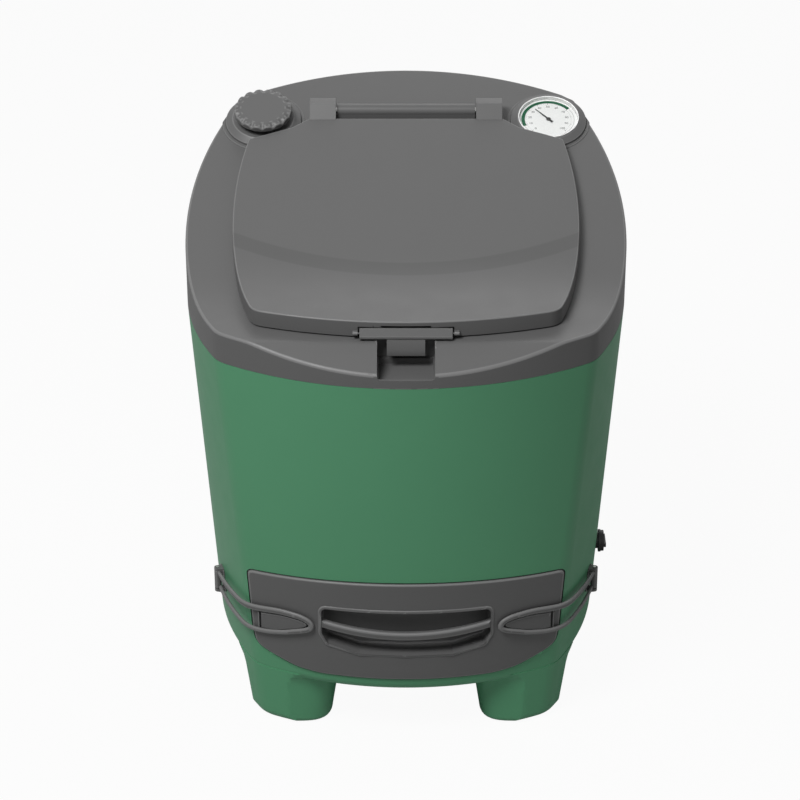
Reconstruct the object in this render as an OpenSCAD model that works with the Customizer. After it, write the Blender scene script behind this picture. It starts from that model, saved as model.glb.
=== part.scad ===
// Insulated garden compost bin: double-walled body on four feet, sloping cover with a
// hinged filling lid, and an emptying hatch held by two loop latches.
// Millimetres. +Z is up, -Y is the front, z = 0 is the ground.

/* [Overall] */
// Width and depth of the body at the parting line
body_w = 740; // [700:1:800]
// Height of the parting line between body and cover
parting_z = 699; // [660:1:760]
// Height of the rear edge of the cover above the parting line
cover_rise = 255; // [235:1:290]
// Height of the cover's level front above the parting line
front_rise = 52.4575; // [51:0.0025:54]

/* [Body walls] */
// Height of the underside of the body above the ground
base_z = 97; // [80:1:120]
// Inward lean of the walls, in degrees
wall_lean = 3.77; // [3:0.01:4.5]
// Plan radius of the front wall
front_r = 525; // [500:5:600]
// Plan radius of the rear wall
rear_r = 650; // [560:5:700]
// Plan radius of the side walls at the parting line
side_r = 600; // [560:5:680]
// Plan radius of the side walls at the underside
side_r_base = 500; // [480:5:560]
// Plan radius of the corners
corner_r = 60; // [56:1:90]
// Radius of the lower edge of the body
base_edge_r = 20; // [14:1:28]
// Thickness of the outer shell
shell_t = 5; // [4:0.5:6]
// Thickness of the foam in the walls
foam_t = 40; // [30:1:44]
// Thickness of the inner liner
liner_t = 4; // [3:0.5:5]
// Thickness of the foam under the floor
base_foam_t = 25; // [20:1:28]
// Width of the rim that carries the cover
rim_w = 75; // [74:1:80]

/* [Feet] */
// Distance of a foot's centre from the body's side
foot_side_in = 173; // [165:1:185]
// Distance of a foot's centre from the body's front or rear
foot_front_in = 155; // [150:1:170]
// Width of a foot where it meets the body
foot_top_w = 170; // [150:1:172]
// Width of a foot above its rounded lower edge
foot_w = 142; // [130:1:148]
// Depth of a foot where it meets the body
foot_top_d = 150; // [140:1:156]
// Depth of a foot above its rounded lower edge
foot_d = 140; // [130:1:146]
// Radius of a foot's lower edge
foot_edge_r = 18; // [12:1:22]

/* [Cover] */
// Thickness of the cover's outer skin
cover_t = 5; // [4:0.5:6]
// Thickness of the foam under the cover's skin
cover_foam_t = 26; // [20:1:28]
// Thickness of the cover's inner pan
pan_t = 3; // [2:0.5:4]
// Distance from the front edge to where the rear slope starts to level out
bend_start_in = 270; // [260:1:285]
// Distance from the front edge to where the top is level
bend_end_in = 130; // [120:1:145]
// Depth of the front bevel from the front edge
bevel_w = 65; // [60:1:70]
// Slope of the front bevel, in degrees
bevel_slope = 25; // [20:0.5:27]
// Distance of the filling opening from the cover's sides
throat_side_in = 160; // [150:1:180]
// Distance of the filling opening from the front edge
throat_front_in = 180; // [175:1:195]
// Distance of the filling opening from the rear edge
throat_rear_in = 210; // [205:1:230]
// Corner radius of the filling opening
throat_r = 40; // [30:1:60]

/* [Lid] */
// Height of the lid's top above the cover
lid_h = 25; // [25:0.5:28]
// Thickness of the lid's skin
lid_t = 3.5; // [3:0.5:4]
// Distance of the lid's edge from the cover's sides
lid_side_in = 80; // [76:1:90]
// Distance of the lid from the front edge
lid_front_in = 74; // [71:1:80]
// Distance of the lid from the rear edge
lid_rear_in = 152; // [150:1:158]
// Plan radius of the lid's front edge
lid_front_r = 700; // [600:10:800]
// Plan radius of the lid's side edges
lid_side_r = 750; // [650:10:900]
// Plan radius of the lid's front corners
lid_corner_r = 25; // [15:1:40]
// Opening angle of the lid, in degrees
lid_open = 105; // [90:1:110]

/* [Lid hinge] */
// Distance of the hinge axis from the rear edge
hinge_in = 124; // [120:1:126]
// Height of the hinge axis above the cover, square to its slope
hinge_h = 16.4; // [15:0.2:18]
// Radius of the fixed hinge barrel
barrel_r = 12; // [10:0.5:13]
// Distance from the end of the fixed hinge barrel to the nearer boss's axis
barrel_in = 128.5; // [118:0.5:138]
// Radius of the lid's hinge knuckles
knuckle_r = 21.5; // [19:0.5:22.5]
// Width of a hinge knuckle
knuckle_w = 45; // [36:1:48]
// Radius of the hinge pins
hinge_pin_r = 5; // [4:0.5:6]

/* [Lid latch] */
// Width of the latch bar
latch_w = 156; // [140:1:170]
// Height of the latch bar
latch_h = 18; // [16:0.5:18.5]
// Width of the latch tongue
tongue_w = 66; // [50:1:76]
// Width of the recess under the latch
recess_w = 97; // [90:1:110]
// Height of the recess floor above the parting line
recess_floor = 15; // [13:0.5:16]

/* [Vent and thermometer] */
// Distance of the two bosses from the cover's sides
boss_side_in = 121.5; // [118:0.5:126]
// Distance of the two bosses from the rear edge
boss_rear_in = 130; // [127:1:132]
// Radius of the bosses
boss_r = 56; // [54:0.5:57]
// Radius of the flat flange round a boss
boss_flange_r = 72; // [64:1:74]
// Height of the bosses above the cover
boss_h = 12; // [10:0.5:14]
// Radius of the vent knob
knob_r = 50; // [44:0.5:52]
// Height of the vent knob
knob_h = 20; // [16:0.5:21]
// Number of flutes round the vent knob
knob_flutes = 16; // [12:1:20]
// Radius of the vent pipe's bore
vent_bore_r = 15.5; // [12:0.5:16]
// Radius of the thermometer dial
dial_r = 51; // [46:0.5:52]
// Length of the thermometer probe
probe_len = 95; // [70:1:98]
// Reading at rest, in degrees to the left of the top
needle_rest = 41; // [0:1:90]

/* [Hatch] */
// Height of the hatch's upper edge at its middle
hatch_top = 322; // [310:1:330]
// Height of the hatch's lower edge
hatch_bottom = 126; // [124:1:132]
// Distance of the hatch's upper corners from the body's sides
hatch_side_in = 103; // [102:1:115]
// Rise of the hatch's arched top edge
hatch_arch = 15.5502; // [12:0.0001:20]
// Thickness of the hatch's skin
hatch_t = 4; // [3:0.5:5]
// How far the hatch stands proud of the wall
hatch_proud = 4; // [3:0.5:5]
// Width of the hatch's margin beside the emptying opening
outlet_margin = 42; // [37:1:60]
// Lower edge of the emptying opening
outlet_z = 168; // [167:1:176]
// Height of the emptying opening
outlet_h = 128; // [110:1:130]
// Travel of the hatch when it is drawn out
hatch_travel = 120; // [100:1:140]

/* [Hatch handle] */
// Distance of the handle recess from the hatch's sides
grip_side_in = 125; // [123:1:137]
// Upper edge of the handle recess
grip_top = 265; // [255:1:268]
// Lower edge of the handle recess
grip_bottom = 179; // [175:1:190]
// Depth of the handle recess behind the wall
grip_depth = 30; // [24:1:34]
// Height of the handle bar
bar_h = 17; // [14:0.5:20]
// Depth of the handle bar
bar_d = 12; // [9:0.5:14]

/* [Loop latches] */
// Middle height of the loops
loop_z = 212; // [206:1:216]
// Distance of the loops' tips from the hatch's sides
loop_tip_in = 111; // [102:1:115]
// Height of a loop over its strands
loop_h = 54; // [50:1:58]
// Width of a loop's strands, seen from the front
strand_w = 8; // [6:0.5:9]
// Thickness of a loop
loop_t = 6; // [5:0.5:7]
// Distance of the loop pins from the wall, sideways
loop_pin_off = 11.235; // [10.5:0.005:14]
// Distance of the loop pins from the front edge
loop_pin_in = 220; // [216:1:224]
// Radius of the loop pins
loop_pin_r = 2.5; // [2:0.25:3]

/* [Air intake and drain] */
// Height of the air intake
intake_z = 229; // [224:1:236]
// Distance of the air intake in front of the middle
intake_y = 50; // [46:1:54]
// Radius of the air intake's flange
intake_r = 20; // [18:0.5:24]
// Radius of the air intake's bore
intake_bore_r = 11; // [9:0.5:12]
// Height of the drain pipe
drain_z = 145; // [144:0.5:147]
// Radius of the drain pipe's bore
drain_bore_r = 5.5; // [4.5:0.25:6]

/* [Hidden] */
$fn = 48;

// Clearance between nested fixed pieces
fit_gap = 0.5;
// Clearance between pieces that move past each other
move_gap = 2;
// Clearance between faces that come to rest on each other
seat_gap = 0.3;
// Running clearance of a pin in its bore
run_gap = 0.05;
// Overrun of a cut past the face that it opens
over = 1;

body_half = body_w / 2;
bend_start = body_half - bend_start_in;
bend_end = body_half - bend_end_in;
crease_y = body_half - bevel_w;
throat_w = body_w - 2 * throat_side_in;
throat_front = body_half - throat_front_in;
throat_rear = body_half - throat_rear_in;
lid_half_w = body_half - lid_side_in;
lid_front = body_half - lid_front_in;
lid_rear = body_half - lid_rear_in;
hinge_y = body_half - hinge_in;
boss_x = body_half - boss_side_in;
boss_y = body_half - boss_rear_in;
foot_x = body_half - foot_side_in;
foot_y = body_half - foot_front_in;
hatch_half_w = body_half - hatch_side_in;
outlet_w = 2 * (hatch_half_w - outlet_margin);
grip_half_w = hatch_half_w - grip_side_in;
loop_tip_x = hatch_half_w - loop_tip_in;
loop_pin_y = body_half - loop_pin_in;
barrel_len = 2 * (boss_x - barrel_in);
hatch_arch_r = (hatch_half_w * hatch_half_w + hatch_arch * hatch_arch) / (2 * hatch_arch);
lean = tan(wall_lean);
slope = (cover_rise - front_rise) / (body_half + (bend_start + bend_end) / 2);
top_slope = atan(slope);
rim_t = 5;

// Steps along a quarter of the plan outline
FRONT_STEPS = 6;
CORNER_STEPS = 3;
SIDE_STEPS = 4;

// Half width and side radius of the body at a height
function half_at(z) = body_half - (parting_z - z) * lean;
function side_r_at(z) = side_r_base + (side_r - side_r_base) * (z - base_z) / (parting_z - base_z);

// Quarter outline from the middle of the front to the middle of the side: a front arc,
// a corner arc and a side arc that meet smoothly
function quarter(w, d, rf, rs, rc) =
  let (fy = rf - d, sx = w - rs, a = rf - rc, b = rs - rc, l = norm([sx, -fy]),
       ux = sx / l, uy = -fy / l, t = (a * a - b * b + l * l) / (2 * l), h = sqrt(a * a - t * t),
       cx = t * ux - h * uy, cy = fy + t * uy + h * ux,
       af = atan2(cy - fy, cx), as = atan2(cy, cx - sx))
  concat(
    [for (i = [0 : FRONT_STEPS]) let (q = -90 + (af + 90) * i / FRONT_STEPS)
      [rf * cos(q), fy + rf * sin(q)]],
    [for (i = [1 : CORNER_STEPS]) let (q = af + (as - af) * i / CORNER_STEPS)
      [cx + rc * cos(q), cy + rc * sin(q)]],
    [for (i = [1 : SIDE_STEPS]) let (q = as * (1 - i / SIDE_STEPS))
      [sx + rs * cos(q), rs * sin(q)]]);

// Whole outline from a front quarter and a rear quarter
function mirrored(f, r) = concat(f,
  [for (i = [len(r) - 2 : -1 : 0]) [r[i][0], -r[i][1]]],
  [for (i = [1 : len(r) - 1]) [-r[i][0], -r[i][1]]],
  [for (i = [len(f) - 2 : -1 : 1]) [-f[i][0], f[i][1]]]);

// Plan outline of the body at a height, moved inwards by an inset
function outline(z, inset) =
  let (w = half_at(z) - inset, rc = max(corner_r - inset, shell_t), rs = side_r_at(z) - inset)
  mirrored(quarter(w, w, front_r - inset, rs, rc), quarter(w, w, rear_r - inset, rs, rc));

// Rings of a tub: the rounded lower edge, then straight walls with a ring at each level
WALL_LEVELS = 4;
function tub_rings(inset, z0, z1, edge, levels) = concat(
  edge > 0 ? [for (q = [0 : 30 : 60]) [z0 + edge * (1 - cos(q)), inset + edge * (1 - sin(q))]] : [],
  [for (i = [0 : levels]) [z0 + edge + (z1 - z0 - edge) * i / levels, inset]]);

// Closed solid through a list of rings, each given by a list of points and a height
module loft(rings) {
  n = len(rings[0]);
  m = len(rings);
  polyhedron(
    points = [for (r = rings) for (p = r) p],
    faces = concat(
      [[for (i = [0 : n - 1]) i]],
      [[for (i = [n - 1 : -1 : 0]) (m - 1) * n + i]],
      [for (j = [0 : m - 2]) for (i = [0 : n - 1]) [j * n + i, (j + 1) * n + i, j * n + (i + 1) % n]],
      [for (j = [0 : m - 2]) for (i = [0 : n - 1])
        [j * n + (i + 1) % n, (j + 1) * n + i, (j + 1) * n + (i + 1) % n]]));
}

module tub(inset, z0, z1, edge = 0, levels = 1)
  loft([for (r = tub_rings(inset, z0, z1, edge, levels))
    [for (p = outline(r[0], r[1])) [p[0], p[1], r[0]]]]);

// Layer of the wall between two insets
module wall_band(outer, inner, z0, z1)
  difference() {
    tub(outer, z0, z1);
    tub(inner, z0 - over, z1 + over);
  }

// Level plate with the body's outline at its own height
module plate(inset, z0, z1)
  translate([0, 0, z0]) linear_extrude(z1 - z0) polygon(outline(z0, inset));

// Straight cut or piece along Y from an outline in X and Z, through the front wall only
front_reach = body_w / 4;
module front_prism(y0 = -body_w, y1 = -front_reach)
  translate([0, y1, 0]) rotate([90, 0, 0]) linear_extrude(y1 - y0) children();

// Stacking of the floor
base_foam_z = base_z + shell_t + seat_gap;
liner_z = base_foam_z + base_foam_t + seat_gap;
tray_z = liner_z + liner_t + seat_gap;
tray_h = 25;
tray_t = 3;
grate_z = tray_z + tray_h + seat_gap;
grate_t = 6;
wall_top = parting_z - rim_t - fit_gap;
foam_inset = shell_t + fit_gap;
liner_inset = foam_inset + foam_t + fit_gap;
chamber_inset = liner_inset + liner_t;
floor_inset = chamber_inset + seat_gap;

// Places of the screws that hold the cover down: x and y for each quarter
screw_inset = 64;
screw_r = 2;
screw_front_share = 0.4055;
screw_side_share = 0.2975;
screw_front_x = body_half * screw_front_share;
screw_side_y = body_half * screw_side_share;
screw_len = 26;
screw_head_r = 5;
screw_head_h = 3.5;
post_r = 8.5;
function arc_y(x, r, half, inset) = half - r + sqrt(pow(r - inset, 2) - x * x);
screw_places = [
  for (s = [-1, 1]) [s * screw_front_x, -arc_y(screw_front_x, front_r, body_half, screw_inset)],
  for (s = [-1, 1]) [s * screw_front_x, arc_y(screw_front_x, rear_r, body_half, screw_inset)],
  for (s = [-1, 1]) for (y = [-screw_side_y, screw_side_y])
    [s * arc_y(y, side_r, body_half, screw_inset), y]];

// Foot: superellipse rings that narrow downwards and end in a rounded edge
FOOT_POINTS = 32;
foot_power = 3;
foot_sink = 14;
function foot_ring(hx, hy, z) = [for (i = [0 : FOOT_POINTS - 1]) let (q = 360 * i / FOOT_POINTS,
    k = 1 / pow(pow(abs(cos(q)), foot_power) + pow(abs(sin(q)), foot_power), 1 / foot_power))
  [hx * k * cos(q), hy * k * sin(q), z]];
module foot(inset, z0, z1)
  loft(concat(
    [for (q = [0 : 30 : 60]) let (in = inset + (foot_edge_r - inset) * (1 - sin(q)))
      foot_ring(foot_w / 2 - in, foot_d / 2 - in, z0 + (foot_edge_r - inset) * (1 - cos(q)))],
    [foot_ring(foot_w / 2 - inset, foot_d / 2 - inset, z0 + foot_edge_r - inset),
     foot_ring(foot_top_w / 2 - inset, foot_top_d / 2 - inset, z1)]));
module each_foot()
  for (sx = [-1, 1]) for (sy = [-1, 1]) translate([sx * foot_x, sy * foot_y, 0]) children();

// Hatch outline in X and Z as half outlines, mirrored. The lower corners follow shares of
// the hatch's half width and height.
hatch_h = hatch_top - hatch_bottom;
hatch_low_shares = [[0.42, 0], [0.55, -0.005], [0.675, 0.02], [0.74, 0.045], [0.805, 0.078],
  [0.868, 0.113], [0.92, 0.145], [0.957, 0.2], [0.975, 0.34]];
HATCH_STEPS = 5;
function arch_z(x) = hatch_top - hatch_arch_r + sqrt(hatch_arch_r * hatch_arch_r - x * x);
function hatch_half() = concat(
  [for (p = hatch_low_shares) [p[0] * hatch_half_w, hatch_bottom + p[1] * hatch_h]],
  [for (i = [0 : HATCH_STEPS - 1]) let (x = hatch_half_w * (1 - i / HATCH_STEPS)) [x, arch_z(x)]]);
function both_sides(h) = concat(h, [for (i = [len(h) - 1 : -1 : 0]) [-h[i][0], h[i][1]]]);
module hatch_shape(grow) offset(delta = grow) polygon(both_sides(hatch_half()));

// Emptying opening
outlet_r = 25;
module rounded_box(x, z0, z1, r)
  hull() for (s = [-1, 1]) for (z = [z0 + r, z1 - r]) translate([s * (x - r), z]) circle(r);
module outlet_shape(grow)
  rounded_box(outlet_w / 2 + grow, outlet_z - grow, outlet_z + outlet_h + grow, outlet_r + grow);

// Layers of the hatch and its frame, as insets behind the outer face of the wall
panel_depth = 10;
frame_wall = 3;
seal_t = 4.5;
pan_plate_t = 2;
seal_inset = panel_depth + pan_plate_t + seat_gap;
frame_inset = seal_inset + seal_t + seat_gap;
frame_edge = move_gap + frame_wall;
front_z0 = base_z + base_edge_r;
front_z1 = hatch_top + base_edge_r;

module hatch_seat_cut() front_prism() hatch_shape(move_gap);

// Air intake on the right-hand side and drain at the rear
pad_x = half_at(intake_z) + fit_gap;
module at_intake(x) translate([x, -intake_y, intake_z]) rotate([0, 90, 0]) children();
intake_pipe_r = intake_bore_r + tray_t;
drain_r = drain_bore_r + tray_t;
drain_y = half_at(drain_z);
drain_stub = 18;
module at_drain(y) translate([0, y, drain_z]) rotate([-90, 0, 0]) children();
drain_in = drain_y - chamber_inset - tray_t - over;

module outer_shell() color("seagreen")
  difference() {
    union() {
      tub(0, base_z, parting_z, base_edge_r, WALL_LEVELS);
      intersection() {
        each_foot() foot(0, 0, base_z + foot_sink);
        tub(0, 0, base_z + base_edge_r, foot_edge_r);
      }
      at_intake(pad_x - shell_t * 2) cylinder(r = intake_r + seat_gap, h = shell_t * 2);
    }
    tub(shell_t, base_z + shell_t, parting_z - rim_t, base_edge_r - shell_t, WALL_LEVELS);
    intersection() {
      each_foot() foot(shell_t, shell_t, base_z + foot_sink);
      tub(shell_t, shell_t, base_z + base_edge_r, foot_edge_r - shell_t);
    }
    plate(rim_w, parting_z - rim_t - over, parting_z + over);
    hatch_seat_cut();
    at_intake(pad_x - foam_t) cylinder(r = intake_pipe_r + run_gap, h = body_half);
    at_drain(drain_y - foam_t) cylinder(r = drain_r + run_gap, h = body_half);
    for (p = screw_places) translate([p[0], p[1], parting_z - rim_t - over])
      cylinder(r = screw_r + fit_gap, h = rim_t + 2 * over);
    for (s = [-1, 1]) at_anchor_pegs(s) translate([0, 0, -foam_t / 2])
      cylinder(r = anchor_peg_r + run_gap, h = foam_t);
  }

module wall_insulation() color("khaki")
  difference() {
    tub(foam_inset, liner_z, wall_top, 0, WALL_LEVELS);
    tub(foam_inset + foam_t, liner_z - over, wall_top + over, 0, WALL_LEVELS);
    front_prism() hatch_shape(frame_edge + fit_gap);
    at_intake(pad_x - chamber_inset - foam_t) cylinder(r = intake_pipe_r + fit_gap, h = body_half);
    at_drain(drain_y - chamber_inset - foam_t) cylinder(r = drain_r + fit_gap, h = body_half);
    for (s = [-1, 1]) at_anchor_pegs(s) translate([0, 0, -anchor_peg_len - over])
      cylinder(r = anchor_peg_r + fit_gap, h = foam_t);
  }

module base_insulation() color("khaki")
  difference() {
    plate(foam_inset + base_edge_r - shell_t, base_foam_z, base_foam_z + base_foam_t);
    front_prism() hatch_shape(frame_edge + fit_gap);
  }

module inner_liner() color("dimgray")
  difference() {
    tub(liner_inset, liner_z, wall_top, 0, WALL_LEVELS);
    tub(chamber_inset, liner_z + liner_t, wall_top + over, 0, WALL_LEVELS);
    front_prism() outlet_shape(frame_wall + fit_gap);
    at_intake(pad_x - chamber_inset - foam_t) cylinder(r = intake_pipe_r + fit_gap, h = body_half);
    at_drain(drain_in - over) cylinder(r = drain_r + fit_gap, h = body_half);
  }

module seepage_tray() color("darkslategray")
  difference() {
    plate(floor_inset, tray_z, tray_z + tray_h);
    translate([0, 0, tray_t]) plate(floor_inset + tray_t, tray_z, tray_z + tray_h + over);
    at_drain(0) cylinder(r = drain_r + run_gap, h = body_half);
  }

// Slotted floor over the tray: rows of slots that stay inside the liner
slot_w = 8;
slot_web = 20;
slot_rib = 24;
slot_pitch_x = body_half / 4.11;
slot_len = slot_pitch_x - slot_web;
slot_pitch_y = slot_w + slot_rib;
SLOT_ROWS = 6;
SLOT_COLUMNS = 2;
duct_w = 50;
duct_d = 26;
duct_x = half_at(grate_z) - chamber_inset - seat_gap;
module floor_grate() color("gray")
  difference() {
    plate(floor_inset + fit_gap, grate_z, grate_z + grate_t);
    for (i = [-SLOT_COLUMNS : SLOT_COLUMNS]) for (j = [-SLOT_ROWS : SLOT_ROWS])
      translate([i * slot_pitch_x - slot_len / 2, j * slot_pitch_y - slot_w / 2, grate_z - over])
        cube([slot_len, slot_w, grate_t + 2 * over]);
  }

module hatch_frame() color("dimgray")
  difference() {
    union() {
      difference() {
        intersection() {
          wall_band(foam_inset, frame_inset + frame_wall, front_z0 - foam_t / 4, front_z1);
          front_prism() hatch_shape(frame_edge);
        }
        intersection() {
          tub(0, front_z0 - foam_t / 2, front_z1 + over);
          difference() {
            hatch_seat_cut();
            tub(frame_inset, front_z0 - foam_t, front_z1 + 2 * over);
          }
        }
      }
      intersection() {
        wall_band(frame_inset, chamber_inset, front_z0, front_z1);
        front_prism() outlet_shape(frame_wall);
      }
    }
    front_prism() outlet_shape(0);
  }

// Channel that leads the air from the side intake down under the grate
duct_top = intake_z + intake_pipe_r + 2 * tray_t;
module duct_box(grow, inset, z0, z1)
  intersection() {
    translate([duct_x - duct_d - grow, -intake_y - duct_w / 2 - grow, z0])
      cube([duct_d * 3 + grow, duct_w + 2 * grow, z1 - z0]);
    tub(inset, grate_z - over, duct_top + 2 * over);
  }
duct_z = grate_z + grate_t + seat_gap;
module air_duct() color("dimgray")
  difference() {
    duct_box(0, floor_inset, duct_z, duct_top);
    duct_box(-tray_t, floor_inset + tray_t, duct_z - over, duct_top - tray_t);
    at_intake(half_at(intake_z) - chamber_inset - duct_d / 2)
      cylinder(r = intake_pipe_r + fit_gap, h = duct_d * 2);
  }

// Ventilated plate: a disc with two opposite quarter openings
port_gap = 14;
module port_disc(r, t, hub, bore)
  difference() {
    cylinder(r = r, h = t);
    for (s = [0, 180]) rotate([0, 0, s]) translate([0, 0, -over])
      rotate_extrude(angle = 90 - 2 * port_gap, start = port_gap)
        translate([hub, 0]) square([r - hub - port_rim, t + 2 * over]);
    translate([0, 0, -over]) cylinder(r = bore, h = t + 2 * over);
  }
port_rim = 1.5;

intake_flange_t = 4;
intake_plate_t = 2.5;
intake_hub_r = 4;
intake_pin_r = 2;
intake_len = chamber_inset + tray_t * 2;
module intake_pipe() color("dimgray") {
  at_intake(pad_x + seat_gap) difference() {
    cylinder(r = intake_r, h = intake_flange_t);
    translate([0, 0, -over]) cylinder(r = intake_bore_r, h = intake_flange_t + 2 * over);
  }
  at_intake(pad_x + seat_gap - intake_len) difference() {
    cylinder(r = intake_pipe_r, h = intake_len + over);
    translate([0, 0, -over]) cylinder(r = intake_bore_r, h = intake_len + 3 * over);
  }
  at_intake(pad_x + seat_gap)
    port_disc(intake_bore_r + over, intake_plate_t, intake_hub_r, intake_pin_r + run_gap);
}

intake_knob_r = 18.5;
intake_knob_t = 5;
grip_w = 7;
grip_h = 4;
module intake_valve() color("dimgray")
  at_intake(pad_x + intake_flange_t + 2 * seat_gap) {
    port_disc(intake_knob_r, intake_knob_t, intake_hub_r, intake_pin_r - over / 2);
    translate([-grip_w / 2, -intake_knob_r + over, intake_knob_t - over / 4])
      cube([grip_w, 2 * (intake_knob_r - over), grip_h]);
    translate([0, 0, -intake_flange_t - tray_t])
      cylinder(r = intake_pin_r, h = intake_flange_t + tray_t + intake_knob_t);
  }

drain_flange_r = 17;
drain_flange_y = half_at(drain_z + drain_flange_r) + seat_gap;
module drain_pipe() color("dimgray")
  difference() {
    union() {
      at_drain(drain_in) cylinder(r = drain_r, h = drain_y - drain_in + drain_stub);
      at_drain(drain_flange_y) cylinder(r = drain_flange_r, h = tray_t);
    }
    at_drain(drain_in - over) cylinder(r = drain_bore_r, h = body_half);
  }

drain_cap_t = 3;
drain_cap_len = 12;
drain_plug = 6;
module drain_cap() color("dimgray")
  difference() {
    at_drain(drain_y + drain_stub - drain_cap_len) union() {
      cylinder(r = drain_r + drain_cap_t, h = drain_cap_len + drain_cap_t + seat_gap);
    }
    at_drain(drain_y + drain_stub - drain_cap_len - over)
      cylinder(r = drain_r + run_gap, h = drain_cap_len + over + seat_gap);
  }

// Height of the cover's top above the parting line at a distance from the middle
deck_bend = bend_end - bend_start;
deck_low = cover_rise - slope * (body_half + bend_start) - slope * deck_bend / 2;
function deck(y) =
  y >= -bend_start ? cover_rise - slope * (body_half - y) :
  y >= -bend_end ? deck_low + slope * pow(y + bend_end, 2) / (2 * deck_bend) : deck_low;
BEND_STEPS = 6;
deck_reach = body_half + over * 5;
// Side profile of the top, raised by a lift, from the rear to the front crease
function deck_line(lift) = concat(
  [[deck_reach, parting_z + deck(deck_reach) + lift]],
  [for (i = [0 : BEND_STEPS]) let (y = -bend_start - deck_bend * i / BEND_STEPS)
    [y, parting_z + deck(y) + lift]],
  [[-crease_y, parting_z + deck_low + lift]]);
// Side profile of the whole cover with the front bevel
function cover_profile(lift) = concat(
  [[-deck_reach, parting_z - body_half], [deck_reach, parting_z - body_half]],
  deck_line(lift),
  [[-deck_reach, parting_z + deck_low + lift - (deck_reach - crease_y) * tan(bevel_slope)]]);
module side_extrude(pts)
  rotate([90, 0, 90]) translate([0, 0, -body_half - over]) linear_extrude(body_w + 2 * over) polygon(pts);
module cover_solid(inset, drop, z0)
  intersection() {
    translate([0, 0, z0]) linear_extrude(cover_rise + over) polygon(outline(parting_z, inset));
    side_extrude(cover_profile(-drop));
  }
// Slab that follows the cover's top between two lifts
module deck_slab(low, high)
  side_extrude(concat(deck_line(high), [for (i = [len(deck_line(low)) - 1 : -1 : 0]) deck_line(low)[i]]));

// Filling opening as an upright prism
module throat(grow, z0 = parting_z - over, h = cover_rise)
  translate([0, (throat_rear - throat_front) / 2, z0]) linear_extrude(h)
    hull() for (sx = [-1, 1]) for (sy = [-1, 1])
      translate([sx * (throat_w / 2 - throat_r), sy * ((throat_front + throat_rear) / 2 - throat_r)])
        circle(throat_r + grow);

// Hinge axis
hinge_z = parting_z + deck(hinge_y) + hinge_h / cos(top_slope);
module on_hinge(x) translate([x, hinge_y, hinge_z]) rotate([0, 90, 0]) children();
hinge_gap = 2;
arm_x = barrel_len / 2 + hinge_gap;
pin_len = 50;
module each_arm() for (x = [-arm_x - knuckle_w, arm_x]) on_hinge(x) children();

// Bosses: local frame square to the sloping top
module at_boss(s)
  translate([s * boss_x, boss_y, parting_z + deck(boss_y)]) rotate([top_slope, 0, 0]) children();

// Latch recess and catch
recess_back_in = 85;
catch_in = 79;
recess_back = body_half - recess_back_in;
catch_front = body_half - catch_in;
catch_under = 40;
recess_wall = 5;
module recess_block()
  intersection() {
    translate([-recess_w / 2 - recess_wall, -body_half, parting_z + seat_gap])
      cube([recess_w + 2 * recess_wall, body_half - recess_back + 3 * recess_wall, cover_rise]);
    cover_solid(0, 0, parting_z);
  }

vent_pipe_wall = 2.5;
vent_pipe_r = vent_bore_r + vent_pipe_wall;
case_rim = 1.5;
case_r = dial_r + case_rim;
case_depth = 14;
bezel_w = 2;
bezel_r = case_r + bezel_w;
stem_r = 4;
collar_t = 4;
collar_rise = 3;
roof_drop = cover_t + cover_foam_t + 2 * fit_gap;
cover_side_foam = 24;
cover_side = cover_t + cover_side_foam;
flange_h = 1.5;
module posts(r, h) for (p = screw_places) translate([p[0], p[1], parting_z]) cylinder(r = r, h = h);

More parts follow.
